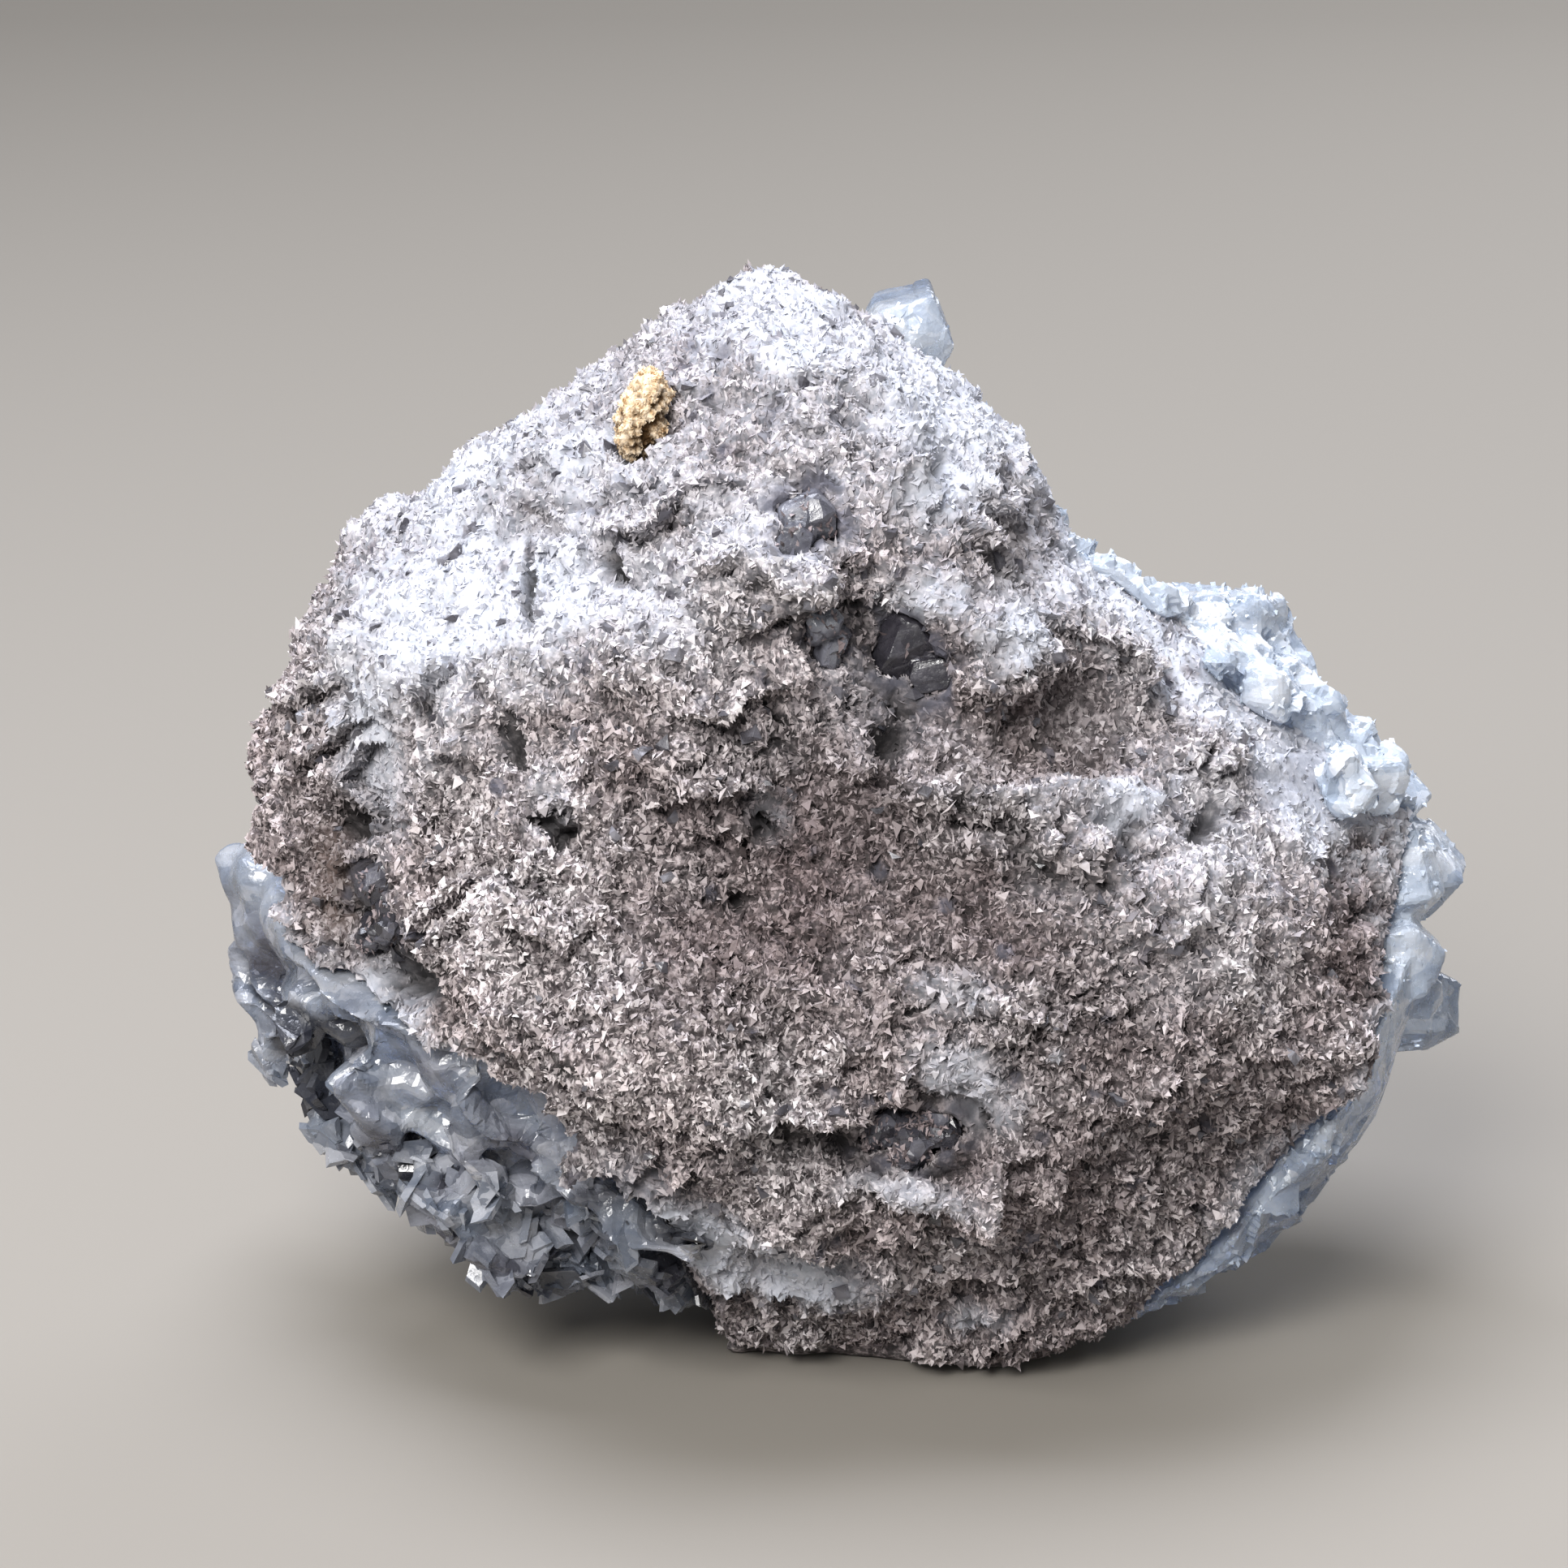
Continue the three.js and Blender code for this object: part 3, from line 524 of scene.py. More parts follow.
@dataclass(frozen=True)
class Celestite:
    """Celestite as it grew in a cavity: see-through pale blue, veined, cloudy at its roots and glassy."""

    name: str = "celestite, natural growth faces"
    clear: tuple[str, str, str] = ("#b2c2da", "#d9e5f5", "#f8fbff")
    frost: tuple[str, str, str] = ("#b6c3d4", "#d6e0ed", "#f4f8fe")
    murk: tuple[str, str, str] = ("#3a3943", "#73747f", "#b4b7c3")
    # Colour of the painted shade in the voids between plates and in the groove along the rock.
    gap: str = "#1d1d24"
    vein_stops: tuple[float, float, float] = (0.36, 0.5, 0.64)
    shard_scale: float = 0.75
    shard_share: float = 0.55
    transmission: float = 0.8
    frost_kept: float = 0.5
    murk_kept: float = 0.5
    roughness: float = 0.1
    etching: float = 0.25
    absorbed: str = "#9fb8dc"
    density: float = 45.0
    index: float = 1.62
    bump: float = 0.14
    layer_turn: float = -42.0

    def build(self) -> bpy.types.Material:
        """Makes the material.

        Returns:
            The material, with plain transmission, refractive index and absorption.
        """
        material, node, in_mm = start_material(self.name)
        # Veils, flaws and growth layers of 1 to 3 mm, drawn out along the layers.
        turn = (0.0, math.radians(self.layer_turn), 0.0)
        drawn = node("ShaderNodeMapping", {"Vector": in_mm, "Rotation": turn, "Scale": (0.5, 1.0, 1.0)})
        wisps = {"Scale": 0.55, "Detail": 5.0, "Roughness": 0.66, "Distortion": 0.7}
        veins = node("ShaderNodeTexNoise", {"Vector": drawn, **wisps})
        # Shards of 1 to 2 mm, each of its own tone, where broken faces meet inside.
        bent = node("ShaderNodeTexNoise", {"Vector": drawn, "Scale": 0.9, "Detail": 2.0}, 1)
        shift = node("ShaderNodeVectorMath", {0: bent, "Scale": 1.3}, operation="SCALE")
        moved = node("ShaderNodeVectorMath", {0: drawn, 1: shift}, operation="ADD")
        cells = node("ShaderNodeTexVoronoi", {"Vector": moved, "Scale": self.shard_scale}, "Color")
        shard = node("ShaderNodeSeparateColor", {0: cells})
        shard = node("ShaderNodeMapRange", {0: shard, "To Min": 0.3, "To Max": 0.7})
        veins = node("ShaderNodeMix", {0: self.shard_share, 2: veins, 3: shard}, data_type="FLOAT")
        colour = node("ShaderNodeValToRGB", {"Fac": veins})
        fill_ramp(colour.node.color_ramp, self.vein_stops, self.clear)
        clear: Any = self.transmission
        # Frosty sugar where it meets the rock, murky broken layers, and painted shade in the gaps between
        # them, which also lets less light through.
        for attribute, tones, kept in (
            ("frost", self.frost, self.frost_kept),
            ("murk", self.murk, self.murk_kept),
            ("hollow", (self.gap, self.gap), 0.1),
        ):
            share = node("ShaderNodeAttribute", out="Fac", attribute_name=attribute)
            other = node("ShaderNodeValToRGB", {"Fac": veins})
            fill_ramp(other.node.color_ramp, self.vein_stops[: len(tones)], tones)
            colour = node("ShaderNodeMix", {0: share, 6: colour, 7: other}, **BLEND)
            left = node("ShaderNodeMapRange", {0: share, "To Min": 1.0, "To Max": kept})
            clear = node("ShaderNodeMath", {0: clear, 1: left}, operation="MULTIPLY")
        # Fine growth steps and etching, a few tenths of a millimetre apart.
        steps = node("ShaderNodeTexNoise", {"Vector": in_mm, "Scale": 1.6, "Detail": 3.0, "Roughness": 0.6})
        ends = {"To Min": self.roughness, "To Max": self.roughness + self.etching}
        faces = {
            "Base Color": colour,
            "Roughness": node("ShaderNodeMapRange", {0: steps, "From Min": 0.4, "From Max": 0.7, **ends}),
            "IOR": self.index,
            "Transmission Weight": clear,
            "Normal": node("ShaderNodeBump", {"Strength": 0.5, "Distance": self.bump * MM, "Height": steps}),
        }
        shader = node("ShaderNodeBsdfPrincipled", faces)
        held = {"Color": linear(self.absorbed), "Density": self.density}
        inside = node("ShaderNodeVolumeAbsorption", held)
        node("ShaderNodeOutputMaterial", {"Surface": shader, "Volume": inside})
        return material


@dataclass(frozen=True)
class OchreClay:
    """Dried ochre clay with sand in it, pressed on by hand: dead matt and crumbly."""

    name: str = "ochre clay, dried crumb"
    light: str = "#f8ecd8"
    mid: str = "#e6cfae"
    dark: str = "#b08c62"
    # Colour of the painted shade in the crevices and towards the foot.
    crevice: str = "#5e4426"
    roughness: float = 0.95
    index: float = 1.45
    bump: float = 0.1

    def build(self) -> bpy.types.Material:
        """Makes the material.

        Returns:
            The material.
        """
        material, node, in_mm = start_material(self.name)
        grit = node("ShaderNodeTexNoise", {"Vector": in_mm, "Scale": 1.8, "Detail": 4.0, "Roughness": 0.7})
        tones = node("ShaderNodeValToRGB", {"Fac": grit})
        fill_ramp(tones.node.color_ramp, (0.34, 0.48, 0.68), (self.dark, self.mid, self.light))
        # Painted shade in the crevices and towards the foot of the lump.
        share = node("ShaderNodeAttribute", out="Fac", attribute_name="hollow")
        faces = {
            "Base Color": node("ShaderNodeMix", {0: share, 6: tones, 7: linear(self.crevice)}, **BLEND),
            "Roughness": self.roughness,
            "IOR": self.index,
            "Normal": node("ShaderNodeBump", {"Strength": 0.6, "Distance": self.bump * MM, "Height": grit}),
        }
        node("ShaderNodeOutputMaterial", {"Surface": node("ShaderNodeBsdfPrincipled", faces)})
        return material


@dataclass(frozen=True)
class PaleGround:
    """Matt pale card under the specimen: even and quiet."""

    name: str = "pale card, matt"
    colour: str = "#8b867e"
    roughness: float = 0.9

    def build(self) -> bpy.types.Material:
        """Makes the material.

        Returns:
            The material.
        """
        material = bpy.data.materials.new(self.name)
        material.use_nodes = True
        shader = material.node_tree.nodes["Principled BSDF"]
        shader.inputs["Base Color"].default_value = linear(self.colour)
        shader.inputs["Roughness"].default_value = self.roughness
        return material


# ---------------------------------------------------------------- scattering


SOCKET_KINDS = {
    float: "NodeSocketFloat",
    bpy.types.Collection: "NodeSocketCollection",
    bpy.types.Material: "NodeSocketMaterial",
}


@dataclass(frozen=True)
class Scatter:
    """Small pieces strewn over a surface by Geometry Nodes, then made one plain mesh."""

    name: str
    per_mm2: float
    smallest: float
    largest: float
    flatten: tuple[float, float]
    seed: int
    upright: bool = False
    sink: float = 0.0
    tilt: float = math.pi
    mask: str = ""

    def grow(
        self, base: bpy.types.Object, shapes: Sequence[bpy.types.Mesh], material: bpy.types.Material
    ) -> bpy.types.Object:
        """Strews the shapes over a base.

        Args:
            base: Object that they stand on, which is left as it is.
            shapes: Shapes of unit size to choose from, growing along +Z.
            material: Their material.

        Returns:
            A new object of one plain mesh.
        """
        source = bpy.data.collections.new(f"{self.name}_shapes")
        for index, shape in enumerate(shapes):
            source.objects.link(bpy.data.objects.new(f"{self.name}_shape_{index}", shape))
        values = {
            "Shapes": source,
            "Per square metre": self.per_mm2 / MM**2,
            "Smallest": self.smallest * MM,
            "Largest": self.largest * MM,
            "Thinnest": self.flatten[0],
            "Thickest": self.flatten[1],
            "Tilt": self.tilt,
            "Sink": self.sink * MM,
            "Material": material,
        }
        group, sockets = self._tree(values)
        made = add_object(self.name, base.data.copy())
        modifier = made.modifiers.new("scatter", "NODES")
        modifier.node_group = group
        for name, value in values.items():
            modifier[sockets[name]] = value
        with_modifiers_applied(made)
        for shown in list(source.objects):
            bpy.data.objects.remove(shown)
        bpy.data.collections.remove(source)
        return made

    def _tree(self, values: dict[str, Any]) -> tuple[bpy.types.NodeTree, dict[str, str]]:
        """Builds the tree.

        Args:
            values: What its named inputs are given.

        Returns:
            The tree, and the identifier of each named input.
        """
        tree = bpy.data.node_groups.new(f"{self.name}_tree", "GeometryNodeTree")
        node = partial(add_node, tree)
        add_socket = tree.interface.new_socket
        add_socket("Geometry", in_out="INPUT", socket_type="NodeSocketGeometry")
        sockets = {
            name: add_socket(name, in_out="INPUT", socket_type=SOCKET_KINDS[type(value)]).identifier
            for name, value in values.items()
        }
        add_socket("Geometry", in_out="OUTPUT", socket_type="NodeSocketGeometry")
        given = node("NodeGroupInput").node.outputs
        density, tilt = given["Per square metre"], given["Tilt"]
        if self.mask:
            share = node("GeometryNodeInputNamedAttribute", {"Name": self.mask}, data_type="FLOAT")
            density = node("ShaderNodeMath", {0: density, 1: share}, operation="MULTIPLY")
        places = {"Mesh": given["Geometry"], "Density": density, "Seed": self.seed}
        strewn = node("GeometryNodeDistributePointsOnFaces", places, distribute_method="RANDOM")
        strewn = strewn.node.outputs
        tone = node("FunctionNodeRandomValue", {"Seed": self.seed + 1}, 1, data_type="FLOAT")
        toned = node(
            "GeometryNodeStoreNamedAttribute",
            {"Geometry": strewn["Points"], "Name": "tone", "Value": tone},
            data_type="FLOAT",
            domain="POINT",
        )
        lowest = node("ShaderNodeMath", {0: tilt, 1: -1.0}, operation="MULTIPLY")
        turn = {
            0: node("ShaderNodeCombineXYZ", {0: lowest, 1: lowest, 2: -math.pi}),
            1: node("ShaderNodeCombineXYZ", {0: tilt, 1: tilt, 2: math.pi}),
            "Seed": self.seed + 2,
        }
        turned = node("FunctionNodeRandomValue", turn, data_type="FLOAT_VECTOR")
        rotation = node("FunctionNodeEulerToRotation", {0: turned})
        sizes = {2: given["Smallest"], 3: given["Largest"], "Seed": self.seed + 3}
        size = node("FunctionNodeRandomValue", sizes, 1, data_type="FLOAT")
        shares = {2: given["Thinnest"], 3: given["Thickest"], "Seed": self.seed + 4}
        thin = node("FunctionNodeRandomValue", shares, 1, data_type="FLOAT")
        flat = node("ShaderNodeMath", {0: size, 1: thin}, operation="MULTIPLY")
        axes = {0: size, 1: size, 2: flat}
        if self.upright:
            both = {0: strewn["Rotation"], 1: rotation}
            rotation = node("FunctionNodeRotateRotation", both, rotation_space="LOCAL")
            axes = {0: size, 1: flat, 2: size}
        shown = {"Collection": given["Shapes"], "Separate Children": True, "Reset Children": True}
        each = {
            "Points": toned,
            "Instance": node("GeometryNodeCollectionInfo", shown),
            "Pick Instance": True,
            "Rotation": rotation,
            "Scale": node("ShaderNodeCombineXYZ", axes),
        }
        placed = node("GeometryNodeInstanceOnPoints", each)
        down = node("ShaderNodeMath", {0: given["Sink"], 1: -1.0}, operation="MULTIPLY")
        move = {"Translation": node("ShaderNodeCombineXYZ", {2: down}), "Local Space": True}
        sunk = node("GeometryNodeTranslateInstances", {"Instances": placed, **move})
        real = node("GeometryNodeRealizeInstances", {"Geometry": sunk})
        dressed = node("GeometryNodeSetMaterial", {"Geometry": real, "Material": given["Material"]})
        node("NodeGroupOutput", {0: dressed})
        return tree, sockets


# Broken flakes of unit length: long, thin, irregular splinters of four faces.
FLAKES = (
    ((0.5, 0.04, 0.0), (-0.5, 0.14, 0.04), (-0.12, -0.28, -0.1), (-0.05, 0.1, 0.22)),
    ((0.46, -0.12, 0.05), (-0.44, -0.06, -0.06), (0.05, 0.33, -0.08), (0.02, -0.07, 0.2)),
    ((0.4, 0.18, 0.0), (-0.42, -0.14, 0.0), (0.1, -0.34, 0.06), (-0.04, 0.14, 0.24)),
)
# Broken celestite chips of unit size: blocky, with slanting ends. The foot comes first, then the top.
CHIPS = (
    ((0.5, 0.1, 0.1), (-0.4, 0.3, 0.0), (-0.45, -0.25, -0.1), (0.35, -0.3, 0.0))
    + ((0.0, 0.0, 0.32), (-0.2, 0.1, 0.28)),
    ((0.42, 0.22, 0.0), (-0.5, 0.05, 0.1), (-0.1, -0.36, 0.0)) + ((0.2, -0.2, 0.3), (-0.16, 0.2, 0.26)),
    ((0.5, -0.05, 0.0), (-0.42, 0.2, -0.05), (-0.3, -0.26, 0.05)) + ((0.12, 0.3, 0.1), (0.1, -0.1, 0.34)),
)
# Broken celestite plates of unit width: thin, with uneven edges, and smaller on top.
PLATES = tuple(
    tuple((u * shrink, v * shrink, lift) for u, v in outline for shrink, lift in ((1.0, -0.06), (0.84, 0.06)))
    for outline in (
        ((0.5, 0.1), (0.16, 0.34), (-0.4, 0.26), (-0.5, -0.16), (0.1, -0.36)),
        ((0.46, -0.1), (0.3, 0.28), (-0.3, 0.4), (-0.46, 0.0), (-0.1, -0.3)),
        ((0.5, 0.0), (0.0, 0.3), (-0.5, 0.12), (-0.3, -0.3), (0.3, -0.28)),
    )
)


def convex_shapes(name: str, corner_sets: Iterable[Iterable[Sequence[float]]]) -> list[bpy.types.Mesh]:
    """Makes the hull round each set of corners.

    Args:
        name: What the meshes are called, with a number each.
        corner_sets: Places of the corners of each.

    Returns:
        Closed meshes with outward faces.
    """
    meshes = []
    for index, corners in enumerate(corner_sets):
        shape = bmesh.new()
        for corner in corners:
            shape.verts.new(corner)
        bmesh.ops.convex_hull(shape, input=shape.verts)
        bmesh.ops.delete(shape, geom=[v for v in shape.verts if not v.link_faces], context="VERTS")
        bmesh.ops.recalc_face_normals(shape, faces=shape.faces)
        meshes.append(bpy.data.meshes.new(f"{name}_{index}"))
        shape.to_mesh(meshes[-1])
        shape.free()
    return meshes


# ---------------------------------------------------------------- host rock


@dataclass(frozen=True)
class Pocket:
    """A group of small crystals set in the face: its node, its facets in mm and the sugar on it."""

    node: str
    facet_size: float
    facet_step: float
    grains_per_mm2: float
    murk: float
    flat: float = 0.0


POCKETS: tuple[Pocket, ...] = (
    Pocket("pocket_crystal_upper", 1.6, 0.5, 8.0, 0.5, 0.7),
    Pocket("pocket_slab", 3.4, 0.3, 2.0, 1.0, 1.0),
    Pocket("pocket_cluster_middle", 1.1, 0.8, 8.0, 0.1),
    Pocket("pocket_cluster_left", 1.0, 0.9, 18.0, 0.85),
    Pocket("pocket_cluster_bottom", 1.0, 0.9, 24.0, 0.75),
)


@dataclass(frozen=True)
class Patch:
    """A named place on the rough face: where it is, how big, and how it differs from the rest."""

    name: str
    x: float
    z: float
    width: float
    height: float
    turn: float = 0.0
    rise: float = 0.0
    bluish: float = 0.0
    stain: float = 0.0
    smoky: float = 0.0
    # Share of painted shade, black as in a deep hole or gap.
    gap: float = 0.0
    tone: float = 0.0


FACE_PATCHES: tuple[Patch, ...] = (
    Patch("hole at the left", -29.8, 35.9, 1.5, 1.1, 0, -2.2, gap=1.0),
    Patch("stain under it", -31.0, 32.0, 1.6, 4.2, 5, -0.3, stain=0.9),
    Patch("recess left, upper", -28.3, 31.5, 1.7, 2.2, 15, -1.3, gap=0.95),
    Patch("recess left, lower", -26.6, 28.6, 1.9, 2.1, -25, -1.6, gap=0.85),
    Patch("upright crack", -19.3, 43.6, 0.7, 1.3, 8, -1.9, gap=1.0),
    Patch("crack below", -17.1, 39.3, 1.1, 0.65, -20, -1.6, gap=1.0),
    Patch("crack below, branch", -16.4, 38.6, 1.1, 0.5, 35, -1.3, gap=0.9),
    Patch("bluish round the crack", -17.2, 40.5, 1.5, 1.9, 0, 0.2, bluish=0.37),
    Patch("hole in the upper left", -13.9, 53.7, 0.7, 0.65, 0, -1.5, gap=1.0),
    Patch("cleft in the upper left", -18.8, 51.2, 0.5, 1.4, 8, -1.3, gap=0.9),
    Patch("hole in the upper right", 5.4, 58.4, 0.8, 0.6, 0, -1.4, gap=0.8),
    Patch("hole in the middle", -4.9, 39.2, 0.8, 0.7, 0, -1.6, gap=1.0),
    Patch("bluish by that hole", -4.5, 40.1, 1.2, 1.6, 10, 0.2, bluish=0.37),
    Patch("hole under the hollow", 2.7, 44.0, 1.1, 0.8, 0, -1.9, gap=1.0),
    Patch("hole in the lower middle", -6.5, 35.1, 0.7, 0.6, 0, -1.3, gap=0.9),
    Patch("hole over the band", -21.1, 25.9, 1.0, 0.7, 10, -1.5, gap=0.9),
    Patch("hole at the right", 21.6, 37.2, 1.0, 0.7, 0, -1.4, gap=0.9),
    Patch("pit on the right rim", 12.0, 56.2, 0.5, 0.4, 0, -0.9, gap=0.9),
    Patch("ledge over the hollow", -5.2, 52.6, 5.0, 1.3, -14, 2.0, tone=0.3),
    Patch("shade under the ledge", -1.2, 50.4, 3.0, 1.2, -35, -1.8, gap=0.7),
    Patch("shelf right of the hollow", 9.5, 46.6, 4.0, 1.0, -10, 1.1, tone=0.2),
    Patch("swell at the upper left", -20.0, 47.0, 6.0, 4.0, 30, 1.0, tone=0.1),
    Patch("swell in the lower left", -15.0, 28.0, 8.0, 5.0, -15, 0.9, tone=0.15),
    Patch("swell by the right rim", 24.0, 33.0, 5.0, 5.0, 0, 0.8),
    Patch("dip in the middle", 1.0, 38.0, 7.0, 3.4, 12, -0.9),
    Patch("dip at the lower right", 15.0, 27.0, 7.0, 3.0, 35, -0.7),
    Patch("hollow", 3.4, 47.2, 2.2, 2.4, -30, -0.9, gap=0.7, smoky=0.35),
    Patch("groove down from the hollow", -3.6, 45.0, 0.8, 3.0, 12, -0.8, gap=0.4),
    Patch("grey crystalline place", -2.0, 56.4, 2.2, 1.9, 0, -0.2, smoky=0.5),
    Patch("mauve place, upper", 4.6, 57.2, 2.4, 1.4, 0, 0.1, bluish=0.55, smoky=0.15),
    Patch("mauve place, middle", 4.6, 51.8, 2.6, 1.8, -10, 0.2, bluish=0.6),
    Patch("bluish white place", 9.6, 48.8, 2.6, 1.8, -15, 0.4, bluish=0.75),
    Patch("brown sloping hollow", 12.5, 43.6, 6.5, 2.8, -14, -1.1, stain=0.28, gap=0.2),
    Patch("brown upper right", 11.0, 53.0, 2.4, 2.4, 20, -0.3, stain=0.4),
    Patch("edge of the sill", 13.0, 39.7, 6.0, 0.8, -4, 1.3, bluish=0.22, tone=0.2),
    Patch("shade under the sill", 13.0, 37.8, 6.0, 0.9, -2, -1.3, gap=0.5),
    Patch("bluish on the sill", 17.2, 39.2, 2.6, 0.9, 0, 0.2, bluish=0.7),
    Patch("smooth grey by the right rim", 27.6, 37.6, 2.2, 1.6, 10, 0.2, smoky=0.5, bluish=0.25),
    Patch("bluish left of the recess", -28.0, 26.0, 1.8, 2.6, 0, 0.2, bluish=0.7),
    Patch("bluish upper left", -28.6, 39.8, 2.0, 4.0, 8, 0.2, bluish=0.6),
    Patch("bluish middle", 6.0, 29.6, 2.4, 1.4, -10, 0.3, bluish=0.45, tone=0.2),
    Patch("bright chip right", 12.4, 25.7, 0.6, 0.4, 0, 0.2, bluish=0.62),
    Patch("bright chips over the pit", 7.0, 24.0, 3.4, 1.8, -40, 0.3, bluish=0.65),
    Patch("low pit, right end", 6.6, 21.4, 1.9, 1.7, 0, -1.4, gap=0.75),
    Patch("low pit, middle", 3.0, 19.8, 3.6, 1.7, 0, -1.7, gap=0.85),
    Patch("low pit, left end", -3.2, 20.4, 1.6, 1.5, 0, -1.3, gap=0.7),
    Patch("white rim under the pit", 4.0, 17.0, 4.0, 0.9, 4, 0.9, bluish=0.42, tone=0.4),
    Patch("bluish low left", -9.8, 12.6, 4.0, 2.8, -20, 0.3, bluish=0.75),
    Patch("bluish low middle", -3.4, 8.4, 5.0, 2.8, 0, 0.4, bluish=0.75),
    Patch("bluish low right", 8.4, 5.0, 2.0, 1.2, 0, 0.1, bluish=0.6),
    Patch("smooth nodule", -12.4, 18.0, 1.5, 1.3, 0, 0.9, smoky=0.45, bluish=0.19),
    Patch("dark facet 1", -9.4, 64.2, 0.5, 0.4, 0, -0.2, smoky=0.8),
    Patch("dark facet 2", -7.6, 64.6, 0.6, 0.35, 20, -0.2, smoky=0.8),
    Patch("dark facet 3", -8.2, 62.6, 0.5, 0.5, 0, -0.2, smoky=0.7),
    Patch("dark facet 4", -4.2, 61.8, 0.7, 0.5, 0, -0.2, smoky=0.7),
    Patch("dark facet 5", -0.1, 61.4, 0.9, 0.5, -10, -0.3, smoky=0.6),
    Patch("dark facet 6", -16.3, 58.0, 0.5, 0.4, 0, -0.2, smoky=0.8),
    Patch("dark facet 7", -13.0, 57.6, 0.5, 0.4, 0, -0.3, smoky=0.8),
    Patch("dark facet 8", -16.0, 55.6, 0.6, 0.4, 0, -0.2, smoky=0.7),
    Patch("white sugar, upper left", -20.0, 54.0, 8.0, 7.0, 35, bluish=0.5, tone=0.25),
    Patch("white sugar, left", -26.0, 47.0, 5.5, 5.5, 30, bluish=0.5, tone=0.25),
    Patch("white sugar, right of the peak", 6.5, 61.0, 6.0, 5.0, -35, bluish=0.45, tone=0.15),
    Patch("white sugar, peak", -4.0, 66.0, 7.0, 3.0, bluish=0.45, tone=0.15),
    Patch("white sugar, right slope", 14.0, 52.0, 4.0, 7.0, 40, bluish=0.4, tone=0.3),
    Patch("pale drift, upper middle", -6.0, 54.0, 8.0, 6.0, bluish=0.15, tone=0.7),
    Patch("pale drift, left", -21.0, 32.0, 7.0, 12.0, tone=0.45),
    Patch("pale drift, lower left", -9.0, 24.0, 8.0, 5.0, -10, tone=0.35),
    Patch("pale drift, right", 22.0, 36.0, 9.0, 7.0, bluish=0.25, tone=0.45),
    Patch("brown drift, middle", -1.0, 39.0, 8.0, 4.5, 10, stain=0.12, tone=-0.6),
    Patch("brown drift, under the sill", 9.0, 34.0, 6.0, 3.0, stain=0.1, tone=-0.4),
    Patch("brown drift, lower right", 16.0, 22.0, 12.0, 8.0, 40, stain=0.05, tone=-0.2),
    Patch("brown drift, low", 4.0, 11.0, 12.0, 6.0, stain=0.03),
    Patch("brown drift, right rim", 31.2, 29.5, 2.4, 6.0, 18, -0.6, stain=0.2, tone=-0.35),
    Patch("brown drift, centre", -6.5, 31.5, 6.0, 3.6, 10, stain=0.1, tone=-0.4),
    Patch("pale drift, right rim", 26.0, 31.0, 4.0, 4.5, tone=0.4),
)


@dataclass
class Relief:
    """What the relief of the rock is made of at each corner: heights in mm, and shares from 0 to 1."""

    rise: np.ndarray
    sugar: np.ndarray
    ledge: np.ndarray
    under: np.ndarray
    crevice: np.ndarray
    facet: np.ndarray
    clear: np.ndarray
    by_pocket: np.ndarray


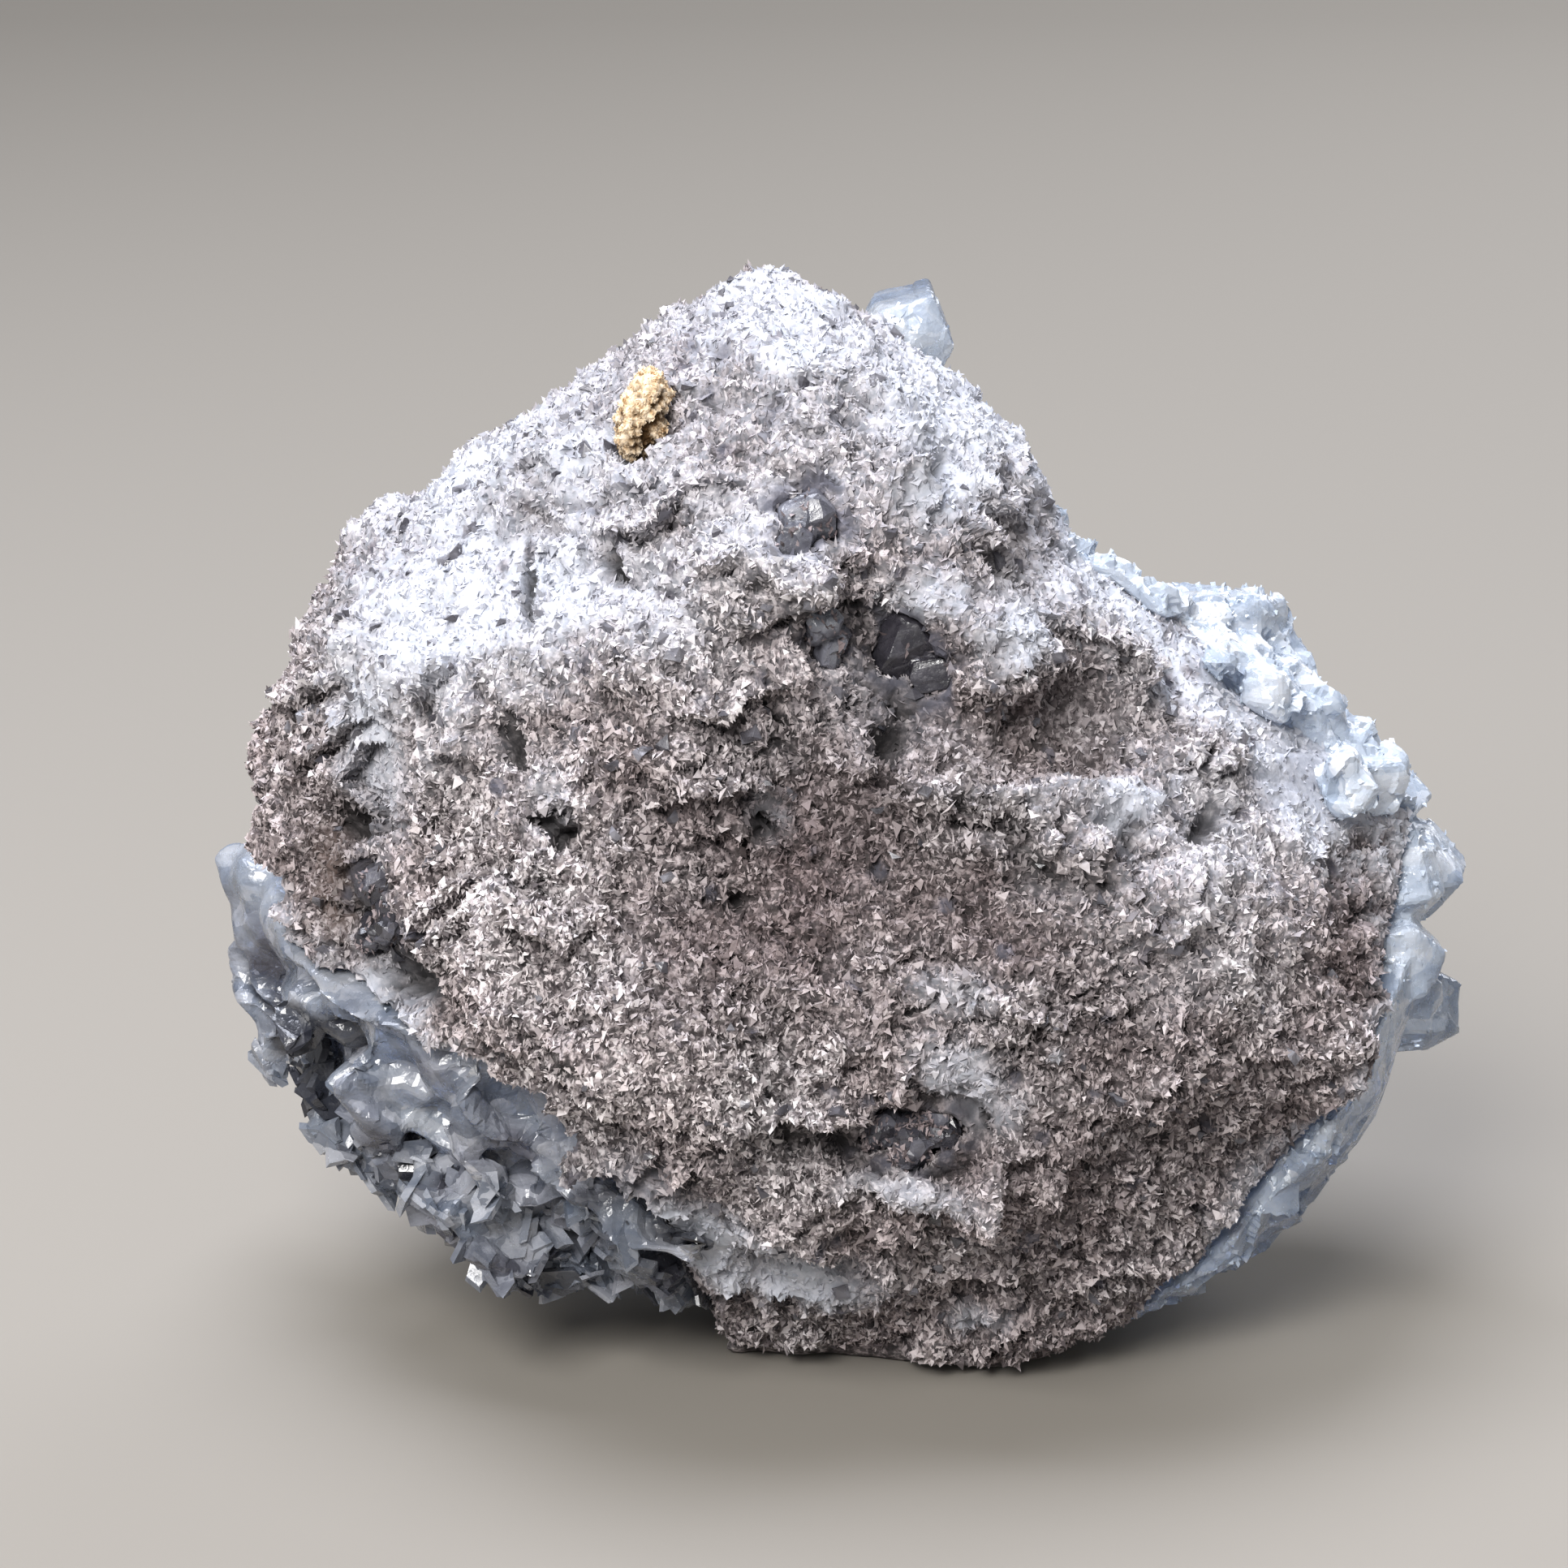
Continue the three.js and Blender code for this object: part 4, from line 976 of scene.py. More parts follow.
@dataclass
class HostRock:
    """The lump of sugary rock, its relief, and the flakes that crumble from it."""

    spacing: float = 0.3
    lump_size: float = 4.2
    lump_rise: float = 0.85
    warp_reach: float = 1.1
    warp_scale: float = 0.23
    chip_size: float = 1.7
    chip_rise: float = 0.8
    sugar_size: float = 0.7
    sugar_rise: float = 0.35
    ledge_spacing: float = 5.6
    ledge_rise: float = 2.4
    ledge_turn: float = 44.0
    ledge_bends: tuple[tuple[float, float], ...] = ((2.1, 8.0), (0.5, 2.8))
    turned_ledges: Zone = Zone(across=(0.0, 24.0), up=(40.0, 18.0))
    crevice_depth: float = 0.8
    facet_spacing: float = 2.1
    facet_rarity: float = 0.62
    settle: float = 0.6
    most_forward: float = -24.6
    rounding: float = 0.8
    triangles: int = 190_000
    seam_clear: tuple[float, float] = (0.35, 2.2)
    ground_clear: tuple[float, float] = (0.3, 2.5)
    pocket_clear: tuple[float, float] = (1.8, 0.5)
    pocket_lip: float = 0.15
    pocket_relief: float = 0.4
    hidden_clear: tuple[float, float] = (1.6, 1.2)
    patch_wander: tuple[float, float] = (0.45, 0.7)
    patch_drift: tuple[float, float] = (2.2, 0.21)
    wide_patch: float = 5.0
    blotch_size: float = 1.2
    whitest: float = 0.75
    # Heights over which upward-facing tops get painted top light, mm.
    top_light_heights: tuple[float, float] = (40.0, 52.0)
    white_seam: tuple[float, float] = (6.0, 14.0)
    right_side: Zone = Zone(across=(0.0, 14.0), up=(26.0, 36.0))
    fleck_heights: tuple[float, float] = (36.0, 48.0)
    fleck_clear: tuple[float, float] = (1.5, 3.0)
    foot: tuple[float, float] = (2.0, 4.0)
    strewn_clear: tuple[float, float] = (0.1, 0.5)
    strewn_foot: tuple[float, float] = (0.9, 1.5)
    finish: SugaryRock = field(default_factory=SugaryRock)
    fleck_finish: Celestite = field(
        default_factory=lambda: Celestite(
            "smoky celestite, small grown-in facets",
            clear=("#434147", "#68666d", "#96959d"),
            transmission=0.25,
            roughness=0.25,
            absorbed="#85848e",
            density=200.0,
        )
    )
    patches: tuple[Patch, ...] = FACE_PATCHES

    def build(self, frame: dict[str, Any]) -> bpy.types.Object:
        """Builds the rock in place of its node.

        Args:
            frame: What the frame gives.

        Returns:
            The rock.
        """
        made = add_object("host_rock", welded_copy(frame, "matrix_rock"))
        even_out(made, 2, self.spacing)
        pockets = skin_of(*(welded_copy(frame, pocket.node) for pocket in POCKETS))
        hidden = self._roughen(made.data, skin_of(welded_copy(frame, "celestite_crust")), pockets)
        thin_out(made, hidden, self.triangles)
        made.data.shade_flat()
        finish_piece(made, ["matrix_rock"], self.finish.build(loose=False))
        return made

    def strew_flakes(self, rock: bpy.types.Object) -> None:
        """Strews the loose sugary flakes over the rock.

        Args:
            rock: The finished rock.
        """
        material = self.finish.build(loose=True)
        shapes = convex_shapes("flake", FLAKES)
        for size, seed, per_mm2, smallest, largest, flatten in (
            ("fine", 11, 4.3, 0.3, 0.65, (0.7, 1.3)),
            ("slight", 13, 4.3, 0.4, 0.75, (0.7, 1.2)),
            ("middling", 17, 4.3, 0.5, 0.95, (0.6, 1.1)),
            ("coarse", 23, 0.7, 0.8, 1.4, (0.5, 1.0)),
        ):
            name = f"rock_flakes_{size}"
            flakes = Scatter(name, per_mm2, smallest, largest, flatten, seed, mask="strewn")
            finish_piece(flakes.grow(rock, shapes, material))
        flecks = Scatter(
            "crystal_flecks",
            per_mm2=0.11,
            smallest=0.6,
            largest=1.5,
            flatten=(0.8, 1.3),
            seed=29,
            upright=True,
            sink=-0.02,
            tilt=0.4,
            mask="flecks",
        )
        finish_piece(flecks.grow(rock, convex_shapes("chip", CHIPS), self.fleck_finish.build()))

    def _roughen(self, mesh: bpy.types.Mesh, crust: BVHTree, pockets: BVHTree) -> np.ndarray:
        """Gives the even mesh the rock's relief and stores what its colours follow.

        Args:
            mesh: Even mesh of the rock, which is changed.
            crust: Skin of the crust behind it.
            pockets: Skins of the small crystals set in the face.

        Returns:
            Share from 0 to 1 that each corner is hidden by the crust.
        """
        places, normals = places_of(mesh), normals_of(mesh)
        marks = self._patch_marks(places, normals)
        made = Relief(
            *at_each(places, self._grain_height),
            *self._ledge_heights(places),
            at_each(places, self._facet_mark),
            distance_to(crust, places),
            smooth_step(*self.pocket_clear, distance_to(pockets, places)),
        )
        front = smooth_step(0.2, -0.2, normals[:, 1])
        steep = smooth_step(0.8, 0.4, normals[:, 2])
        calm = 1.0 - 0.6 * np.clip(marks["bluish"], 0.0, 1.0)
        made.ledge *= front * steep
        made.under *= front
        made.crevice *= front * (0.4 + 0.6 * steep) * calm
        made.facet *= front * calm
        made.rise -= 0.6 * made.sugar * np.clip(marks["bluish"] + 0.5 * (1.0 - steep), 0.0, 1.0)
        settled = self.settle * smooth_step(-0.9, -0.3, normals[:, 1])
        height = made.rise + marks["rise"] + made.ledge - self.crevice_depth * made.crevice - settled
        height *= smooth_step(*self.seam_clear, made.clear) * smooth_step(*self.ground_clear, places[:, 2])
        height += made.by_pocket * (self.pocket_lip + self.pocket_relief * made.rise - height)
        places += normals * height[:, None]
        ahead = np.maximum(self.most_forward - places[:, 1], 0.0)
        places[:, 1] += ahead - self.rounding * (1.0 - np.exp(-ahead / self.rounding))
        places[:, 2] = np.maximum(places[:, 2], 0.0)
        set_places(mesh, places)
        self._store_tones(mesh, places, normals, marks, made)
        return smooth_step(*self.hidden_clear, made.clear)

    def _store_tones(
        self,
        mesh: bpy.types.Mesh,
        places: np.ndarray,
        normals: np.ndarray,
        marks: dict[str, np.ndarray],
        made: Relief,
    ) -> None:
        """Stores what the colours and the loose flakes follow.

        Args:
            mesh: Mesh of the rock, with its relief.
            places: Its corners, mm.
            normals: Outward directions before the relief.
            marks: What the named patches do.
            made: What the relief is made of.
        """
        x, _, z = places.T
        # Painted top light: upward-facing places high on the rock are whitened.
        top_light = smooth_step(0.3, 0.75, normals[:, 2]) * smooth_step(*self.top_light_heights, z)
        right = self.right_side.share(x, z)
        seam = smooth_step(4.0 + 3.0 * right, 1.0, made.clear)
        seam *= smooth_step(-0.5 - 0.3 * right, 0.25, made.rise) * (0.45 + 0.5 * right)
        seam *= smooth_step(*self.white_seam, z) * (1.0 - marks["stain"])
        # White is the real white sugar of the patches and by the crust, plus painted light on raised places
        # and on the tops.
        white = marks["bluish"] * (1.0 + 0.5 * made.rise) + 0.25 * top_light + seam
        white = np.clip(white, 0.0, self.whitest)
        blotch = noise_at(places, self.blotch_size)
        smoky = marks["smoky"] + 0.8 * made.facet + 0.9 * made.by_pocket * smooth_step(-0.15, 0.15, blotch)
        smoky = np.clip(smoky, 0.0, 1.0)
        # Painted shade: low places between the grains, under the ledges' lips, in crevices, and dark in the
        # patches' holes and gaps.
        low = smooth_step(0.1, -0.55, made.sugar)
        hollow = (0.5 * low + 0.55 * made.under + 0.8 * made.crevice) * (1.0 - 0.85 * white)
        hollow += 1.3 * marks["gap"] * (1.0 - 0.5 * made.by_pocket)
        # Painted relief shading: ledges and lumps lighter, low places darker, with the patches' drifts of
        # tone.
        worn = 0.55 + 0.2 * made.ledge + 0.25 * made.rise + marks["tone"]
        bare = 1.0 - 0.85 * smoky - 1.2 * marks["gap"] - 0.5 * made.crevice - 0.6 * white
        bare = np.maximum(np.clip(bare, 0.0, 1.0), 0.6 * made.by_pocket * smooth_step(0.1, -0.2, blotch))
        upper = (0.25 + 0.75 * smooth_step(*self.fleck_heights, z)) * smooth_step(*self.foot, z)
        upper *= smooth_step(*self.fleck_clear, made.clear) * smooth_step(0.3, -0.2, normals[:, 1])
        strewn = bare * smooth_step(*self.strewn_clear, made.clear) * smooth_step(*self.strewn_foot, z)
        for name, values in (
            ("hollow", np.clip(hollow, 0.0, 1.0)),
            ("worn", np.clip(worn, 0.0, 1.0)),
            ("bluish", white * (1.0 - made.facet)),
            ("stain", np.clip(marks["stain"], 0.0, 1.0)),
            ("smoky", smoky),
            ("flecks", bare * upper),
            ("strewn", strewn),
        ):
            set_attribute(mesh, name, values)

    def _grain_height(self, place: Vector) -> tuple[float, float]:
        """Height of the lumps, broken chips and sugary grains at a place.

        Args:
            place: Corner, mm.

        Returns:
            The height in mm, and the part of it that chips and grains make.
        """
        warped = place + self.warp_reach * noise.noise_vector(place * self.warp_scale)
        lump = noise.noise(warped / self.lump_size)
        lump += 0.5 * noise.noise(warped / (0.45 * self.lump_size))
        cell = noise.voronoi(warped / self.chip_size)[1][0]
        chip = (warped / self.chip_size - cell).dot(noise.cell_vector(cell * 7.0))
        grain = noise.voronoi(place / self.sugar_size)[0][0]
        fine = self.chip_rise * chip + self.sugar_rise * (0.45 - grain)
        return self.lump_rise * lump + fine, fine

    def _ledge_heights(self, places: np.ndarray) -> tuple[np.ndarray, np.ndarray, np.ndarray]:
        """Heights of the broken ledges, each with a slope on top and an undercut below its lip.

        Args:
            places: Corners, mm.

        Returns:
            Height of each corner in mm, how far it is under a lip, and how deep in a crevice, from 0 to 1.
        """
        ledge, under, crevice = np.empty((3, len(places)))
        for index, row in enumerate(places):
            place = Vector(row)
            turned = math.radians(self.ledge_turn) * self.turned_ledges.share(row[0], row[2])
            phase = (place.z * math.cos(turned) - place.x * math.sin(turned)) / self.ledge_spacing
            for reach, size in self.ledge_bends:
                phase += reach * noise.noise(place / size)
            share = phase - math.floor(phase)
            strength = smooth_step(-0.1, 0.4, noise.noise(place / 6.5 + Vector((3.1, 0.4, 8.2))))
            lip = smooth_step(1.0, 0.88, share)
            ledge[index] = self.ledge_rise * strength * ((1.0 - share) * lip - 0.4)
            under[index] = strength * smooth_step(0.78, 0.96, share) * lip
            stretched = Vector((place.x / 3.4, place.y / 3.4, place.z / 1.3))
            line = abs(noise.noise(stretched + 0.6 * noise.noise_vector(place / 1.7)))
            open_here = smooth_step(0.05, 0.3, noise.noise(place / 5.5 + Vector((9.7, 2.2, 1.5))))
            crevice[index] = smooth_step(0.09, 0.02, line) * open_here
        return ledge, under, crevice

    def _facet_mark(self, place: Vector) -> float:
        """Share from 0 to 1 that a small bare facet of dark crystal shows at a place."""
        (away, *_), (spot, *_) = noise.voronoi(place / self.facet_spacing)
        return smooth_step(0.3, 0.2, away) if noise.cell(spot * 11.0) > self.facet_rarity else 0.0

    def _patch_marks(self, places: np.ndarray, normals: np.ndarray) -> dict[str, np.ndarray]:
        """Sums what the named patches do at each corner of the front.

        Args:
            places: Corners, mm.
            normals: Outward directions at the corners.

        Returns:
            Rise in mm and the shares of each colour, by name.
        """
        wander = shift_at(places, *self.patch_wander)
        drift = shift_at(places, *self.patch_drift)
        front = smooth_step(0.35, -0.05, normals[:, 1])
        names = ("rise", "bluish", "stain", "smoky", "gap", "tone")
        marks = {name: np.zeros(len(places)) for name in names}
        for patch in self.patches:
            angle = math.radians(patch.turn)
            wide = min(1.0, patch.width / self.wide_patch) ** 2
            x = places[:, 0] + wander[0] + wide * drift[0]
            z = places[:, 2] + wander[2] + wide * drift[2]
            across = (x - patch.x) * math.cos(angle) + (z - patch.z) * math.sin(angle)
            along = (z - patch.z) * math.cos(angle) - (x - patch.x) * math.sin(angle)
            away = (across / patch.width) ** 2 + (along / patch.height) ** 2
            share = np.exp(-(away**1.5)) * front
            for name in marks:
                marks[name] += getattr(patch, name) * share
        return marks


# ---------------------------------------------------------------- crust


@dataclass(frozen=True)
class Swelling:
    """A rounded swelling that fills the crust's rim between its crystals."""

    name: str
    x: float
    y: float
    z: float
    radius: float
    levels: int = 3

    def add_to(self, mesh: bpy.types.Mesh) -> None:
        """Adds the swelling to a mesh as a closed skin of its own.

        Args:
            mesh: Mesh of the crust, in metres.
        """
        shape = bmesh.new()
        shape.from_mesh(mesh)
        place = Matrix.Translation(Vector((self.x, self.y, self.z)) * MM)
        bmesh.ops.create_icosphere(shape, subdivisions=self.levels, radius=self.radius * MM, matrix=place)
        shape.to_mesh(mesh)
        shape.free()


RIM_SWELLINGS: tuple[Swelling, ...] = (
    Swelling("left edge, top", -34.9, 6.0, 31.0, 1.6),
    Swelling("left edge, upper", -36.2, 5.5, 28.0, 2.6),
    Swelling("left edge, middle", -36.6, 5.0, 24.4, 2.7),
    Swelling("left edge, lower", -36.4, 4.5, 20.8, 2.7),
    Swelling("left edge, foot", -35.4, 3.5, 17.2, 2.5),
    Swelling("band, head", -32.8, 5.0, 16.8, 2.8),
    Swelling("band, below its head", -31.0, 4.0, 13.6, 2.6),
    Swelling("shoulder, top", 18.0, 6.0, 44.8, 2.4),
    Swelling("shoulder, upper", 21.8, 5.5, 43.6, 2.6),
    Swelling("shoulder, middle", 25.2, 4.5, 41.4, 2.7),
    Swelling("shoulder, lower", 28.4, 3.5, 39.0, 2.7),
    Swelling("shoulder, foot", 31.4, 3.0, 36.0, 2.6),
    Swelling("right edge, top", 33.6, 4.0, 32.4, 1.7),
    Swelling("right edge, middle", 34.4, 5.0, 26.0, 1.8),
    Swelling("right edge, lower", 34.2, 5.0, 22.0, 1.8),
)


@dataclass
class CelestiteCrust:
    """The celestite behind the rock: whole crystals at the back, one weathered mass in front."""

    cut_depth: float = 13.0
    cut_height: float = 35.0
    cut_slope: float = 0.18
    overlap: float = 0.1
    fade: tuple[float, float] = (0.4, 3.0)
    spacing: float = 0.3
    soften_steps: int = 5
    melt_steps: int = 24
    wave_size: float = 2.6
    wave_rise: float = 0.5
    block_size: float = 2.1
    block_step: float = 0.75
    plate_size: tuple[float, float, float] = (8.0, 3.2, 2.2)
    plate_step: float = 1.5
    void_depth: float = 1.5
    seam_groove: float = 1.3
    most_rise: float = 0.9
    speckle_size: float = 1.6
    cloud_size: float = 3.1
    band_turn: float = -42.0
    band: Zone = Zone(across=(0.0, -6.0), up=(27.5, 23.5), lean=0.25, pivot=-30.0)
    shoulder: Zone = Zone(across=(5.0, 16.0), up=(24.0, 33.0))
    left_edge: Zone = Zone(across=(-20.0, -27.0), up=(14.0, 20.0))
    crisp_edge: Zone = Zone(across=(28.0, 33.0), up=(38.0, 34.0))
    crisp_peak: tuple[float, float] = (53.0, 57.0)
    frosted_edge: tuple[float, float] = (28.0, 32.0)
    frosted_seam: tuple[float, float] = (4.5, 1.0)
    chip_clear: tuple[float, float] = (2.2, 0.6)
    groove_clear: tuple[float, float] = (1.5, 0.4)
    rise_clear: tuple[float, float] = (0.35, 0.9)
    hidden_clear: tuple[float, float] = (1.5, 1.2)
    triangles: int = 190_000
    facet_share: float = 0.55
    swellings: tuple[Swelling, ...] = RIM_SWELLINGS
    finish: Celestite = field(default_factory=Celestite)
    chip_finish: Celestite = field(
        default_factory=lambda: Celestite("celestite chips, frosted", transmission=0.5, roughness=0.16)
    )

    def build(self, frame: dict[str, Any]) -> None:
        """Builds the crust in place of its node, with the small chips that lie on it.

        Args:
            frame: What the frame gives.
        """
        material = self.finish.build()
        back = Vector((0.0, 1.0, -self.cut_slope))
        middle = Vector((0.0, self.cut_depth, self.cut_height)) * MM
        crystals = add_object("celestite_crystals", welded_copy(frame, "celestite_crust"))
        keep_side(crystals, middle - Vector((0.0, self.overlap * MM, 0.0)), back)
        crystals.data.shade_flat()
        finish_piece(crystals, ["celestite_crust"], material)
        mass = add_object("celestite_mass", welded_copy(frame, "celestite_crust"))
        keep_side(mass, middle, -back)
        for swelling in self.swellings:
            swelling.add_to(mass.data)
        even_out(mass, 0, self.spacing)
        hidden = self._weather(mass.data, skin_of(welded_copy(frame, "matrix_rock")))
        thin_out(mass, hidden, self.triangles)
        break_up(mass, self.facet_share)
        finish_piece(mass, ["celestite_crust"], material)
        chips = Scatter(
            "crust_chips", per_mm2=3.0, smallest=0.3, largest=0.8, flatten=(0.4, 0.8), seed=31, mask="chips"
        )
        finish_piece(chips.grow(mass, convex_shapes("chip", CHIPS), self.chip_finish.build()))
        plates = Scatter(
            "band_plates",
            per_mm2=0.55,
            smallest=1.4,
            largest=4.2,
            flatten=(0.5, 1.0),
            seed=37,
            upright=True,
            sink=0.3,
            tilt=0.26,
            mask="plates",
        )
        finish_piece(plates.grow(mass, convex_shapes("plate", PLATES), material))

    def _weather(self, mesh: bpy.types.Mesh, rock: BVHTree) -> np.ndarray:
        """Softens the mass, breaks its lower left into plates and stores what its colours and chips follow.

        Args:
            mesh: Even mesh of the front part, which is changed.
            rock: Skin of the rock that it touches.

        Returns:
            Share from 0 to 1 that each corner is hidden.
        """
        places = places_of(mesh)
        near = distance_to(rock, places)
        x, y, z = places.T
        ahead = self.cut_depth + self.cut_slope * (z - self.cut_height) - y
        front = smooth_step(*self.fade, ahead)
        zones = (self.band, self.shoulder, self.left_edge, self.crisp_edge)
        band, shoulder, left, crisp = (zone.share(x, z) for zone in zones)
        crisp = np.maximum(crisp, smooth_step(*self.crisp_peak, z))
        places = softened(mesh, places, front * (1.0 - 0.75 * crisp), self.soften_steps)
        places = softened(mesh, places, front * shoulder * (1.0 - crisp), self.melt_steps)
        set_places(mesh, places)
        normals = normals_of(mesh)
        plates, edges, voids = at_each(places, self._plate_height)
        waves, blocks = at_each(places, self._wave_height)
        groove = smooth_step(*self.groove_clear, near) * band
        weathered = waves * (1.0 - 0.3 * left) + blocks * (1.0 - 0.5 * left)
        rise = band * (plates - self.void_depth * voids) - self.seam_groove * groove
        rise += (1.0 - 0.6 * band) * (1.0 - 0.8 * crisp) * weathered
        rise = np.minimum(rise, self.most_rise) * front
        rise *= smooth_step(0.2, 1.6, z) * smooth_step(*self.rise_clear, near)
        places = softened(mesh, places + normals * rise[:, None], 0.7 * band * front, 2)
        places = softened(mesh, places, 0.8 * left * front, 5)
        set_places(mesh, places)
        speckle = noise_at(places, self.speckle_size)
        cloud = noise_at(places, self.cloud_size)
        frost = 0.75 * shoulder + 0.5 * smooth_step(*self.frosted_seam, near) * (1.0 - band)
        frost += 0.35 * speckle * (1.0 - band) + 0.4 * smooth_step(*self.frosted_edge, x)
        frost += band * np.clip(0.6 * edges + 0.5 * speckle, 0.0, 1.0)
        murk = np.clip(0.75 + 0.5 * cloud, 0.0, 1.0) * band + 0.35 * left * (1.0 - band)
        chips = np.maximum(smooth_step(*self.chip_clear, near), 0.6 * shoulder) * (1.0 - 0.75 * band)
        chips *= smooth_step(1.0, 2.0, z) * smooth_step(-0.2, 0.3, speckle)
        plated = band * smooth_step(2.0, 4.0, z) * smooth_step(18.5, 15.0, z + 0.25 * (x + 32.0))
        for name, values in (
            ("frost", frost),
            ("murk", murk),
            # Painted shade in the voids between the plates and in the groove along the rock.
            ("hollow", 0.9 * voids * band + 0.8 * groove),
            ("chips", chips),
            ("plates", plated * smooth_step(0.3, 1.2, near)),
        ):
            set_attribute(mesh, name, np.clip(values, 0.0, 1.0) * front)
        return np.maximum(smooth_step(*self.hidden_clear, near), smooth_step(0.3, 0.1, ahead))

    def _wave_height(self, place: Vector) -> tuple[float, float]:
        """Heights of the rounded waves that weathering left, and of small blocky growth faces, mm."""
        wave = noise.noise(place / self.wave_size) + 0.35 * noise.noise(place / (0.4 * self.wave_size))
        block = noise.voronoi(place / self.block_size)[1][0]
        lean = noise.cell_vector(block * 7.0) - HALF
        step = self.block_step * 2.0 * (place / self.block_size - block).dot(lean)
        return self.wave_rise * wave, step

    def _plate_height(self, place: Vector) -> tuple[float, float, float]:
        """Height of the plates that run along the band, with their edges and the voids between them.

        Args:
            place: Corner, mm.

        Returns:
            Height in mm, and shares of edge and of void from 0 to 1.
        """
        turned = Matrix.Rotation(math.radians(self.band_turn), 3, "Y")
        along = turned @ (place + 1.2 * noise.noise_vector(place * 0.3))
        stretched = Vector(along[axis] / size for axis, size in enumerate(self.plate_size))
        (first, second, *_), (cell, *_) = noise.voronoi(stretched)
        tilt = noise.cell_vector(cell * 9.0) - HALF
        height = self.plate_step * (noise.cell(cell * 5.0) - 0.6 + (stretched - cell).dot(tilt))
        void = smooth_step(0.2, 0.36, noise.noise(stretched * 0.9))
        return height, smooth_step(0.16, 0.03, second - first), void


# ---------------------------------------------------------------- small pieces


@dataclass
class PocketCrystals:
    """Small grey crystals, broken and half buried, in the hollows of the rough face."""

    spacing: float = 0.16
    facet_share: float = 0.14
    swell: float = 0.1
    frost_size: float = 0.9
    facing: tuple[float, float, float] = (0.0, -0.97, 0.243)
    finish: Celestite = field(
        default_factory=lambda: Celestite(
            "smoky celestite, broken",
            clear=("#4b4a55", "#74747f", "#a9abb8"),
            murk=("#1f1e22", "#343239", "#56545c"),
            transmission=0.45,
            roughness=0.2,
            absorbed="#7d7f92",
            density=200.0,
        )
    )
    grains: SugaryRock = field(default_factory=SugaryRock)

    def build(self, frame: dict[str, Any]) -> None:
        """Builds each crystal group in place of its node, with the grains that cling to it.

        Args:
            frame: What the frame gives.
        """
        material = self.finish.build()
        grains = self.grains.build(loose=True)
        for pocket in POCKETS:
            made = add_object(pocket.node.replace("pocket", "broken"), welded_copy(frame, pocket.node))
            even_out(made, 0, self.spacing)
            places = places_of(made.data)
            facing = np.array(self.facing)
            out = places @ facing
            places -= np.maximum(out - (out.max() - pocket.flat), 0.0)[:, None] * facing
            normals = normals_of(made.data)
            rise = at_each(places, partial(self._facet_height, pocket))
            set_places(made.data, places + normals * rise[:, None])
            frost = smooth_step(0.05, 0.5, noise_at(places, self.frost_size))
            set_attribute(made.data, "frost", 0.4 * frost * (1.0 - pocket.murk))
            set_attribute(made.data, "murk", np.full(len(places), pocket.murk))
            set_attribute(made.data, "strewn", frost * smooth_step(0.3, -0.3, normals[:, 1]))
            break_up(made, self.facet_share)
            finish_piece(made, [pocket.node], material)
            sugar = Scatter(
                f"{made.name}_sugar",
                per_mm2=pocket.grains_per_mm2,
                smallest=0.3,
                largest=0.8,
                flatten=(0.7, 1.2),
                seed=53,
                mask="strewn",
            )
            finish_piece(sugar.grow(made, convex_shapes("flake", FLAKES), grains))

    def _facet_height(self, pocket: Pocket, place: Vector) -> float:
        """Height of the broken facet at a place, mm."""
        cell = noise.voronoi(place / pocket.facet_size)[1][0]
        tilt = noise.cell_vector(cell * 7.0) - HALF
        return self.swell + pocket.facet_step * (place / pocket.facet_size - cell).dot(tilt)


@dataclass
class ClayNodule:
    """The ochre clay lump on the upper left slope."""

    spacing: float = 0.13
    lump_size: float = 1.1
    lump_rise: float = 0.5
    crumb_size: float = 0.42
    crumb_rise: float = 0.6
    finish: OchreClay = field(default_factory=OchreClay)

    def build(self, frame: dict[str, Any]) -> None:
        """Builds the lump in place of its node, with crumbs on it.

        Args:
            frame: What the frame gives.
        """
        made = add_object("ochre_clay", welded_copy(frame, "clay_nodule"))
        even_out(made, 2, self.spacing)
        mesh = made.data
        places = places_of(mesh)
        crumb = at_each(places, lambda place: noise.voronoi(place / self.crumb_size)[0][0])
        rise = self.lump_rise * noise_at(places, self.lump_size) + self.crumb_rise * (0.4 - crumb)
        set_places(mesh, places + normals_of(mesh) * rise[:, None])
        # Painted shade: darker in the crevices between crumbs, and darker towards the foot.
        low, high = places[:, 2].min(), places[:, 2].max()
        foot = smooth_step(high - 0.3 * (high - low), low, places[:, 2])
        set_attribute(mesh, "hollow", np.clip(smooth_step(0.05, -0.3, rise) + 0.3 * foot, 0.0, 1.0))
        material = self.finish.build()
        finish_piece(made, ["clay_nodule"], material)
        crumbs = Scatter("clay_crumbs", per_mm2=30.0, smallest=0.2, largest=0.5, flatten=(0.5, 1.0), seed=47)
        finish_piece(crumbs.grow(made, convex_shapes("flake", FLAKES), material))


# ---------------------------------------------------------------- studio


@dataclass(frozen=True)
class Lamp:
    """A square soft light: its place and aim in metres, its edge in metres and its power in watts."""

    name: str
    place: tuple[float, float, float]
    aim: tuple[float, float, float]
    size: float
    power: float
    colour: str

    def hang(self) -> None:
        """Hangs the light."""
        light = bpy.data.lights.new(self.name, "AREA")
        light.shape, light.size, light.energy = "SQUARE", self.size, self.power
        light.color = linear(self.colour)[:3]
        lamp = add_object(self.name, light)
        lamp.location = self.place
        facing = Vector(self.aim) - Vector(self.place)
        lamp.rotation_euler = facing.to_track_quat("-Z", "Y").to_euler()


